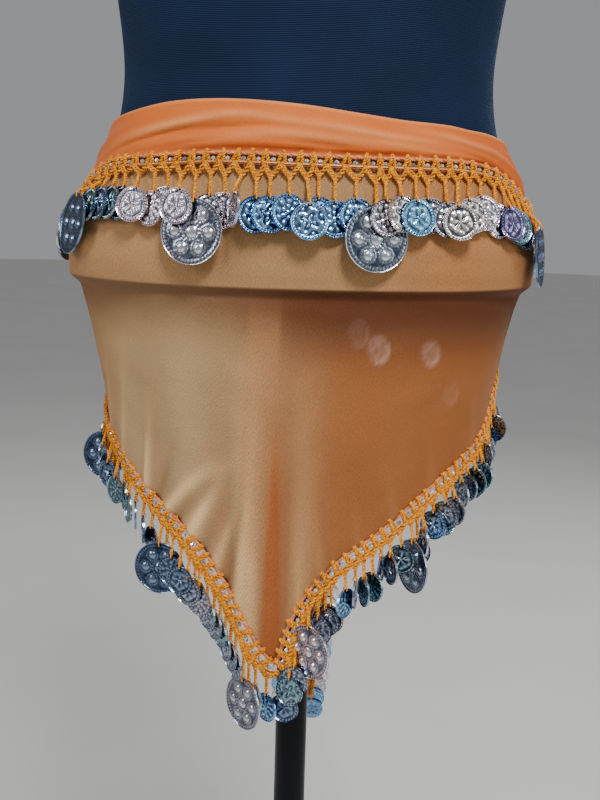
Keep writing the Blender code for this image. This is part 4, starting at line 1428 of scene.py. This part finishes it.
FINE_RINGS = (0.08, 0.16, 0.24, 0.32, 0.40, 0.48, 0.56, 0.64, 0.72, 0.78, 0.83, 0.88, 0.93, 0.965, 1.0)
LOWER_RINGS = (0.10, 0.21, 0.32, 0.43, 0.54, 0.65, 0.75, 0.83, 0.88, 0.94, 1.0)
PLAIN_RINGS = (0.12, 0.28, 0.42, 0.56, 0.70, 0.85, 0.94, 1.0)
LARGE_RINGS = tuple(0.045 + 0.91 * step / 22 for step in range(23)) + (0.98, 1.0)
small_reliefs = (rosette_relief, scroll_relief, star_relief)
FINE_COINS, LOWER_COINS, PLAIN_COINS = (
    [stamped_coin(SMALL_COIN, relief, depth, rings, 2 * notches, notches) for relief in reliefs]
    for reliefs, depth, rings, notches in (
        (small_reliefs, 0.00085, FINE_RINGS, 33), (small_reliefs, 0.00080, LOWER_RINGS, 24),
        (small_reliefs[:2], 0.00060, PLAIN_RINGS, 17),
    )
)
DOMED_COIN = stamped_coin(LARGE_COIN, dome_relief, 0.0017, LARGE_RINGS, 96, 48)

antique_silver = finish("antique_silver", (0.55, 0.56, 0.60), 0.22, Metallic=1.0)
# each coin's tint: its own colour, with painted reflection and shade
coin_tint_and_reflection = add_node(antique_silver, "Attribute", attribute_name="coin_tint_and_reflection").outputs["Color"]
# the relief for the patina, with the painted shade of the holes
patina = add_node(antique_silver, "Attribute", attribute_name="relief_and_hole_shade").outputs["Fac"]
tarnish = noise_over(antique_silver, place_of(antique_silver), 420.0, 3.0)
worn = add_node(antique_silver, "Math", {0: tarnish, 2: patina}, operation="MULTIPLY_ADD")
worn.inputs[1].default_value = TARNISH_DEPTH
shine = shaded(antique_silver, worn.outputs[0], (0.080, 0.100, 0.160), (1.0, 0.96, 0.98), 0.10, 0.60)
minted = add_node(antique_silver, "VectorMath", {0: shine, 1: coin_tint_and_reflection}, operation="MULTIPLY")
feed(antique_silver, "Base Color", minted.outputs[0])
roughen(antique_silver, 430.0, 2.0, 0.00035)

Coin = namedtuple("Coin", "top up across facing radius shape tint")
# Coin tints: partly the silver's own warm, grey or pewter shade, and partly painted reflection and shade;
# the blues, teal, violet and rose stand for coloured light the silver reflects, the dark blues and slates
# for coins turned away into shade.
SILVER = Tone(0.95, 0.94, 0.98)
ROSE_SILVER = Tone(0.98, 0.89, 0.94)
ICE_SILVER = Tone(0.88, 0.93, 1.00)
STEEL_BLUE = Tone(0.35, 0.66, 1.00)
SKY_BLUE = Tone(0.34, 0.74, 1.00)
PALE_BLUE = Tone(0.80, 0.93, 1.00)
WARM_SILVER = Tone(0.95, 0.90, 0.82)
PEWTER = Tone(0.64, 0.66, 0.72)
SLATE = Tone(0.42, 0.50, 0.60)
DARK_BLUE = Tone(0.24, 0.34, 0.50)
VIOLET_GREY = Tone(0.38, 0.36, 0.62)
TEAL = Tone(0.32, 0.50, 0.56)
# How coins lie on each other: room between two faces, more room at a large one, how far a coin may
# move out at a time and how often, the degrees it may turn, and what a degree costs in metres.
CLEARANCE = 0.0011
LARGE_ROOM = 0.0008
LONGEST_PUSH = 0.003
PUSHES = 3
GIVE = (0, 5, -5, 10, -10, 16, -16, 22, -22)
GIVE_COST = 0.00006
COIN_OUT = 0.0030
FREE_COIN_OUT = 0.0012
BODY_BEND = 4.5
PLUMB_SPAN = 75


def disc_points(coin):
    centre = coin.top - coin.up * coin.radius
    return centre, [centre] + [
        centre + (coin.across * math.cos(turn) + coin.up * math.sin(turn)) * coin.radius * share
        for share, count in ((1.0, 16), (0.55, 8)) for turn in turns(count)
    ]


def rises_over(points, centre, normal, reach):
    """How far each point that lies over a disc stands before it."""
    rises = []
    for point in points:
        apart = point - centre
        rise = apart.dot(normal)
        if (apart - normal * rise).length < reach:
            rises.append(rise)
    return rises


def swung(first, second, turn):
    """Two directions square to each other, turned in their plane."""
    share, rest = math.cos(turn), math.sin(turn)
    return first * share + second * rest, second * share - first * rest


def turned_coin(coin, degrees):
    """The coin turned about its strand. Over the form it lifts, so that neither side cuts the cloth."""
    turn = math.radians(degrees)
    lift = coin.radius * abs(math.sin(turn)) if coin.top.z > HIP_EDGE else 0.0
    across, facing = swung(coin.across, coin.facing, turn)
    return coin._replace(top=coin.top + coin.facing * lift, across=across, facing=facing)


def clear_of(coin, placed):
    """The coin moved out from those that it would cut through, and how far it had to move."""
    away = Vector((coin.top.x, coin.top.y, 0.0)).normalized()
    sideways = ease((abs(away.x) - 0.75) / 0.2) if coin.top.z > HIP_EDGE else 0.0
    outward = Vector((away.x * sideways, away.y, 0.0)).normalized()
    moved = 0.0
    for _ in range(PUSHES):
        centre, points = disc_points(coin)
        push = 0.0
        for other, other_centre, other_points in placed:
            if (other_centre - centre).length > coin.radius + other.radius:
                continue
            room = CLEARANCE + (LARGE_ROOM if max(coin.radius, other.radius) > SMALL_COIN else 0.0)
            rises = [-rise for rise in rises_over(other_points, centre, coin.facing, coin.radius)]
            rises += rises_over(points, other_centre, other.facing, other.radius)
            behind = coin.radius <= other.radius and all(rise <= -room for rise in rises)
            if behind or all(rise >= room for rise in rises):
                continue
            push = max([push] + [room - rise for rise in rises])
        if push <= 0.0:
            break
        push = min(push, LONGEST_PUSH)
        moved += push
        coin = coin._replace(top=coin.top + outward * push)
    return coin, moved


def settled(coins, layers):
    """The coins as they come to lie, layer by layer: each turns a little on its strand and moves out
    as far as it must to lie on those before it."""
    placed = {}
    for number in sorted(range(len(coins)), key=lambda index: layers[index]):
        hung = coins[number]
        near = [
            entry for entry in placed.values()
            if (entry[0].top - hung.top).length < 2 * (hung.radius + entry[0].radius)
        ]
        tries = []
        for give in GIVE:
            coin, moved = clear_of(turned_coin(hung, give), near)
            tries.append((moved + (coin.top - hung.top).length + GIVE_COST * abs(give), give, coin))
            if moved == 0.0:
                break
        coin = min(tries, key=lambda entry: entry[:2])[2]
        placed[number] = (coin, *disc_points(coin))
    return [placed[number][0] for number in range(len(coins))]


def strike_coins(trim, coins):
    """All coins of a trim as one mesh, with each coin's tint, partly its own colour and partly painted
    reflection and shade, and its patina.
    """
    name = f"{trim.name}_coins"
    points, faces, tints, heights = [], [], [], []
    for coin in coins:
        first = len(points)
        for point in (place * (coin.radius / coin.shape.radius) for place in coin.shape.points):
            points.append(coin.top + coin.across * point.x - coin.facing * point.y + coin.up * point.z)
        faces += [tuple(first + corner for corner in face) for face in coin.shape.faces]
        tints += [*coin.tint, 1.0] * len(coin.shape.points)
        heights += coin.shape.reliefs
    struck = bpy.data.meshes.new(f"{name}_struck")
    struck.from_pydata(points, [], faces)
    struck.attributes.new("coin_tint_and_reflection", "FLOAT_COLOR", "POINT").data.foreach_set("color", tints)
    struck.attributes.new("relief_and_hole_shade", "FLOAT", "POINT").data.foreach_set("value", heights)
    shape = bmesh.new()
    shape.from_mesh(struck)
    bpy.data.meshes.remove(struck)
    add_piece(name, closed_mesh(name, shape, 55), antique_silver,
              node=f"trim_{trim.name}")


STRAND_FOOT = 0.0012
KNOT_WIDTH = 0.0011
KNOT_DEPTH = 0.0009
TIE_RADIUS = YARN_RADIUS * 0.85
TIE_YARNS = ((0.0011, 0.0008), (-0.0017, -0.0012))


def tie_coins(trim, apexes, coins):
    """The twisted strands from the net's points, each through its coin's hole."""
    name = f"{trim.name}_strands"
    shape = bmesh.new()
    for number, (apex, coin) in enumerate(zip(apexes, coins)):
        above = coin.top + coin.up * STRAND_FOOT
        lay_yarns(shape, [apex, apex.lerp(above, 0.5), above], coin.facing, TWISTED, trim.sides, number)
        # the knot at the strand's top
        knot = apex - coin.up * YARN_RADIUS
        tube(shape, [
            knot + coin.across * KNOT_WIDTH * math.cos(turn) + coin.facing * KNOT_DEPTH * math.sin(turn)
            for turn in turns(KNOT_TURNS, 1)
        ], KNOT_RADIUS, trim.sides)
        # two yarns over the rim into the hole, before the coin and behind it
        hole = coin.top - coin.up * coin.radius * (1 - HOLE_MIDDLE)
        for rim, through in TIE_YARNS:
            tube(shape, [
                above + coin.up * YARN_RADIUS,
                coin.top + coin.up * 0.0002 + coin.facing * rim,
                hole + coin.facing * through,
            ], TIE_RADIUS, trim.sides)
    add_piece(name, closed_mesh(name, shape, YARN_SHARP), yarn, node=f"trim_{trim.name}")


def hung_coin(apex, hanging, shape, radius):
    """A coin on the body's slope below its strand, or hanging straight below the form's edge."""
    angle = math.degrees(math.atan2(apex.x, -apex.y))
    turn, roll = math.radians(hanging.turn), math.radians(hanging.roll)
    height = apex.z - HIP_EDGE - hanging.fall
    foot_height = height - 2 * radius
    up = Vector((0.0, 0.0, 1.0))
    if height > 0:
        # a stiff disc on a round body stands off by the body's bend across its width
        lift = (wrap_lift(angle) + COIN_OUT + BODY_BEND * radius**2 + radius * abs(math.sin(turn))
                + max(crease_depth(angle, foot_height), 0.0))
        # in front of the hips it hangs plumb below its strand, where the body slopes away to a side
        if abs(angle) < PLUMB_SPAN:
            aside = apex.x / ring_point(height, angle, lift)[0].x - 1
            plumb = 1 + aside * ease((PLUMB_SPAN - abs(angle)) / 30)
            angle = math.degrees(math.asin(math.sin(math.radians(angle)) * plumb))
        top, outward = ring_point(height, angle, lift)
        up = (top - ring_point(foot_height, angle, lift)[0]).normalized()
    else:
        outward = ring_point(height, angle, 0.0)[1]
        top = apex + outward * FREE_COIN_OUT - up * hanging.fall
    facing = (outward - up * outward.dot(up)).normalized()
    across, facing = swung(up.cross(facing), facing, turn)
    up, across = swung(up, across, roll)
    return Coin(top, up, across, facing, radius, shape, hanging.tint)


def dress_trim(trim, hangings, seed):
    """One length of trim with its coins."""
    chance = random.Random(seed)
    apexes = crochet_trim(trim, hangings, chance)
    coins = []
    for apex, hanging in zip(apexes, hangings):
        shape = DOMED_COIN if hanging.large else chance.choice(trim.coins)
        coins.append(trim.place_coin(apex, hanging, shape, shape.radius * trim.coin_size))
    coins = settled(coins, [hanging.layer for hanging in hangings])
    strike_coins(trim, coins)
    tie_coins(trim, apexes, coins)


# How unevenly the strands are made: in metres, in shares of the fall, and in degrees.
POINT_PLAY = 0.0012
FALL_PLAY = (0.78, 1.25)
TURN_PLAY = 3
ROLL_PLAY = 4
Pattern = namedtuple("Pattern", "turns roll tints large_every")
FLAT_TO_LEFT = Pattern((3, 2, 4, 3, 2), 3, (SLATE, DARK_BLUE, TEAL, PEWTER), 0)
FLAT_TO_RIGHT = Pattern((6, 5, 7, 6, 5), 3, (SLATE, DARK_BLUE, PEWTER, TEAL), 0)
HIDDEN_LEFT = Pattern((-11, -9, -12, -10), 4, (SILVER, PEWTER, WARM_SILVER, STEEL_BLUE), 7)
HIDDEN_RIGHT = Pattern((11, 9, 12, 10), 4, (SILVER, WARM_SILVER, PEWTER, STEEL_BLUE), 8)
HANGING_FREE = Pattern((20, 44, 12, 36, 28), 0, (DARK_BLUE, TEAL, SLATE), 0)
HIDDEN_FREE = Pattern((30, -34, 40, 24, -46), 6, (SILVER, PEWTER, TEAL, STEEL_BLUE), 6)


def even_hangings(spot, start, end, pitch, pattern, chance, given=(), point=0.0138, fall=0.0098):
    """Strands a pitch apart, drawn from a pattern, except where a given one hangs. Coins that turn
    to the left lie on the next one, and coins that turn to the right lie on the one before."""
    marks = even_angles(spot, start, end, pitch)
    hangings = []
    for index, (angle, following) in enumerate(zip(marks, marks[1:])):
        every = pattern.large_every
        hangings.append(Hanging(
            (angle + following) / 2, point + chance.uniform(-POINT_PLAY, POINT_PLAY),
            fall * chance.uniform(*FALL_PLAY),
            pattern.turns[index % len(pattern.turns)] + chance.uniform(-TURN_PLAY, TURN_PLAY),
            pattern.roll + chance.uniform(-ROLL_PLAY, ROLL_PLAY),
            -index - 2 if pattern.turns[0] > 0 else index,
            chance.choice(pattern.tints), every > 0 and index % every == every // 2))
    for hanging in given:
        nearest = min(range(len(hangings)), key=lambda index: abs(hangings[index].angle - hanging.angle))
        hangings[nearest] = hanging
    return sorted(hangings)


def in_millimetres(angle, point, fall, turn, layer, tint, large=False):
    return Hanging(angle, point / 1000, fall / 1000, turn, 0, layer, tint, large)


def facing_out(angle, point, fall, aim, *others):
    """A coin that hangs free: aim is the side it faces, in degrees to the right of straight ahead."""
    return in_millimetres(angle, point, fall, angle - aim, *others)


# The upper trim over the hips, strand by strand: it is in full view, so each coin has its place.
UPPER_COINS = table(
    in_millimetres,
    (-79.5, 12, 6, 0, -1, DARK_BLUE),
    (-73.5, 12, 4, 4, 4, DARK_BLUE, True),
    (-69.5, 12, 5, 12, 3, TEAL),
    (-66.0, 11, 6, 12, 2, DARK_BLUE),
    (-62.5, 10, 7, 12, 1, TEAL),
    (-59.0, 10, 8, 10, 0, DARK_BLUE),
    (-54.0, 10, 9.4, 4, 5, ROSE_SILVER),
    (-49.0, 10, 11.9, 6, 4, ROSE_SILVER),
    (-45.0, 10, 9.4, 7, 3.5, SILVER),
    (-40.5, 13, 7.8, 9, 3, ROSE_SILVER),
    (-36.0, 13, 14, -6, 2, ICE_SILVER, True),
    (-31.5, 12, 13, 10, 1, SILVER),
    (-27.0, 13, 10.6, 6, 0, ROSE_SILVER),
    (-21.5, 13, 9.4, 80, 1, PEWTER),
    (-16.5, 15, 10.3, -28, 1, STEEL_BLUE),
    (-12.0, 13.5, 11, -28, 2, STEEL_BLUE),
    (-5.5, 13, 9.8, -26, 3, STEEL_BLUE),
    (0.5, 13.5, 14.5, -26, 4, STEEL_BLUE),
    (4.5, 11, 13, -16, 2, STEEL_BLUE),
    (10.0, 13, 12.7, -18, 3, STEEL_BLUE),
    (17.0, 13, 10.6, -14, 4, STEEL_BLUE),
    (23.3, 14, 13.5, -5, 5, PALE_BLUE, True),
    (26.4, 14, 10, -8, 6, SILVER),
    (30.7, 13.5, 8.6, -8, 7, WARM_SILVER),
    (36.0, 11, 12.7, -4, 8, SKY_BLUE),
    (39.5, 13.5, 8.8, 6, 2, PEWTER),
    (45.0, 12, 13.3, -8, 3, PEWTER),
    (49.0, 12, 14, 8, 6, WARM_SILVER),
    (53.0, 11, 10.6, 10, 5, WARM_SILVER),
    (57.0, 11, 8, 10, 4, SILVER),
    (62.0, 11, 11, 7, 3.5, SILVER),
    (65.5, 11, 10, 14, 5, VIOLET_GREY),
    (68.5, 11, 9, 10, 4, TEAL),
    (71.5, 11, 8, 8, 3, DARK_BLUE),
    (75.0, 11, 9, -14, 1, DARK_BLUE, True),
    (79.5, 11, 7, -6, 0, DARK_BLUE),
)
LOWER_LEFT_COINS = table(
    facing_out,
    (-86.0, 9, 11, -22, 0, DARK_BLUE, True),
    (-80.0, 9, 10, -60, 3, SLATE),
    (-72.0, 9, 10, -38, 2, DARK_BLUE),
    (-65.5, 9, 10, -48, 2, TEAL),
    (-60.5, 8.5, 7.5, -56, 1, TEAL),
    (-56.5, 8.5, 6.5, -82, 1, TEAL),
    (-53.5, 8.5, 7.5, -84, 0, DARK_BLUE),
    (-50.0, 9, 10, -80, 0, DARK_BLUE),
    (-46.5, 11, 9, -50, 0, SLATE),
    (-42.5, 12, 9, -20, 1, DARK_BLUE, True),
    (-37.5, 12, 10, -42, 3, DARK_BLUE),
    (-34.0, 12, 10, -45, 4, DARK_BLUE),
    (-31.0, 12, 11, -52, 3, SLATE),
    (-27.2, 12, 9, -42, 5, PEWTER),
    (-24.6, 12, 11, -56, 4, SLATE),
    (-22.4, 12, 11, -58, 3, SLATE),
    (-20.5, 12, 10, -62, 2, TEAL),
    (-18.7, 12, 13, -68, 1, SLATE),
    (-16.9, 12, 13, -60, 2, SLATE),
    (-15.0, 11, 13, -54, 4, SLATE),
    (-12.3, 12, 17, -46, 3, PEWTER, True),
    (-9.0, 10, 11, -65, 1, TEAL),
    (-6.6, 10, 11, -48, 2, STEEL_BLUE),
)
LOWER_RIGHT_COINS = table(
    facing_out,
    (-3.3, 11, 10, -45, 3, TEAL),
    (-1.8, 10, 15, -50, 1, SLATE),
    (2.2, 8.5, 6.5, -44, 6, ROSE_SILVER, True),
    (9.5, 11, 11, -30, 3, PEWTER),
    (11.6, 11, 8, 50, 4, STEEL_BLUE),
    (13.6, 9, 6.9, 58, 5, STEEL_BLUE),
    (16.8, 10, 8.2, 84, 2, SLATE),
    (19.2, 10, 6.8, -68, 3, TEAL),
    (21.7, 10, 7.3, -47, 4, TEAL),
    (24.4, 8.5, 5.2, 78, 1, SLATE),
    (27.0, 10, 5.2, -62, 2, SLATE),
    (30.5, 10, 5.6, -34, 5, TEAL),
    (34.5, 11, 7.8, -58, 3, SLATE, True),
    (38.7, 11, 6.3, -75, 2, PEWTER),
    (43.0, 11, 5, -30, 5, STEEL_BLUE),
    (47.2, 10, 3.8, -50, 3, SLATE),
    (51.0, 11, 5.5, -45, 5, PEWTER),
    (54.5, 10, 4, -60, 3, SLATE),
    (57.5, 10, 3.4, -50, 2, SLATE),
    (61.0, 10, 3.9, -60, 1, TEAL),
    (65.5, 9, 7.6, -52, 4, TEAL),
    (71.0, 8.5, 5.5, -78, 2, SLATE),
    (85.0, 9, 11, -45, 2, SLATE),
)

FRONT_SPAN = 96.0
TRIM_PARTING = 0.6
TIP_ANGLE = -5.0
FRONT_PITCH = 0.0088
LEFT_PITCH = 0.0080
RIGHT_PITCH = 0.0078
HIDDEN_PITCH = 0.0105
UPPER_COIN_SIZE = 1.07
LOWER_COIN_SIZE = 0.91
LOWER_BULK = 1.12
front, near = FRONT_SPAN, FRONT_SPAN + TRIM_PARTING
picks = random.Random(5)
dress_trim(
    Trim("upper_front", upper_spot, hung_coin, FINE_COINS, UPPER_COIN_SIZE, 4, 1.0),
    [*even_hangings(upper_spot, -front, -81.0, FRONT_PITCH, FLAT_TO_LEFT, picks), *UPPER_COINS,
     *even_hangings(upper_spot, 82.5, front, FRONT_PITCH, FLAT_TO_RIGHT, picks)], 11)
for name, start, end, pitch, given, seed in (
    ("lower_left", -front, TIP_ANGLE, LEFT_PITCH, LOWER_LEFT_COINS, 14),
    ("lower_right", TIP_ANGLE, front, RIGHT_PITCH, LOWER_RIGHT_COINS, 15),
):
    dress_trim(
        Trim(name, lower_spot, hung_coin, LOWER_COINS, LOWER_COIN_SIZE, 4, LOWER_BULK),
        even_hangings(lower_spot, start, end, pitch, HANGING_FREE, picks, given, 0.0120, 0.0100), seed)
for name, start, end, spot, pattern in (
    ("upper_left", -157, -near, upper_spot, HIDDEN_LEFT),
    ("upper_right", near, 157, upper_spot, HIDDEN_RIGHT),
    ("lower_back_left", -150, -near, lower_spot, HIDDEN_FREE),
    ("lower_back_right", near, 150, lower_spot, HIDDEN_FREE),
):
    dress_trim(Trim(name, spot, hung_coin, PLAIN_COINS, 1.0, 3, 1.0),
               even_hangings(spot, start, end, HIDDEN_PITCH, pattern, picks), 20)


# ---------------------------------------------------------------- trims of the hanging ends
# The same crochet and coins down both edges of each end. The coins lie over each other like scales.
END_PITCH = 0.0112
SCALE_LEAN = math.radians(12)
END_TRIM_TOP = 0.26
END_TRIM_FOOT = 0.97
END_COIN_OUT = 0.0022


def end_spot(end, edge):
    """Places off an end's edge: sideways over the hem and the beads, and aslant down from there."""
    away = end.side * (1 if edge == 1 else -1)

    def spot(share, down, out):
        square = min(down, NET_START)
        hang = down - square
        off = Vector((away * (square + 0.35 * hang), out, -0.9 * hang))
        return Spot(end_point(end, edge, share) + off, Vector((0.0, 1.0, 0.0)))
    return spot


def end_coin(apex, hanging, shape, radius):
    """A coin facing away from the form, leaning on the one below."""
    turn, roll = math.radians(hanging.turn), math.radians(hanging.roll)
    up = Vector((0.0, -math.sin(SCALE_LEAN), math.cos(SCALE_LEAN)))
    facing = Vector((math.sin(turn), math.cos(turn) * math.cos(SCALE_LEAN), math.sin(SCALE_LEAN)))
    facing = (facing - up * facing.dot(up)).normalized()
    up, across = swung(up, up.cross(facing), roll)
    top = apex + Vector((0.0, END_COIN_OUT, -hanging.fall))
    return Coin(top, up, across, facing, radius, shape, hanging.tint)


SCALES = Pattern((0, 3, -2, 4), 0, (SILVER, PEWTER, WARM_SILVER, STEEL_BLUE), 0)
for end in HANGING_ENDS:
    for edge, side in ((0, "inner"), (1, "outer")):
        name = f"{end.name}_end_{side}"
        spot = end_spot(end, edge)
        hangings = [
            hanging._replace(point=0.0115, fall=0.0060, layer=index)
            for index, hanging in enumerate(reversed(even_hangings(
                spot, END_TRIM_TOP, END_TRIM_FOOT, END_PITCH, SCALES, picks)))
        ]
        dress_trim(Trim(name, spot, end_coin, PLAIN_COINS, 1.0, 3, 1.0), hangings, 30)
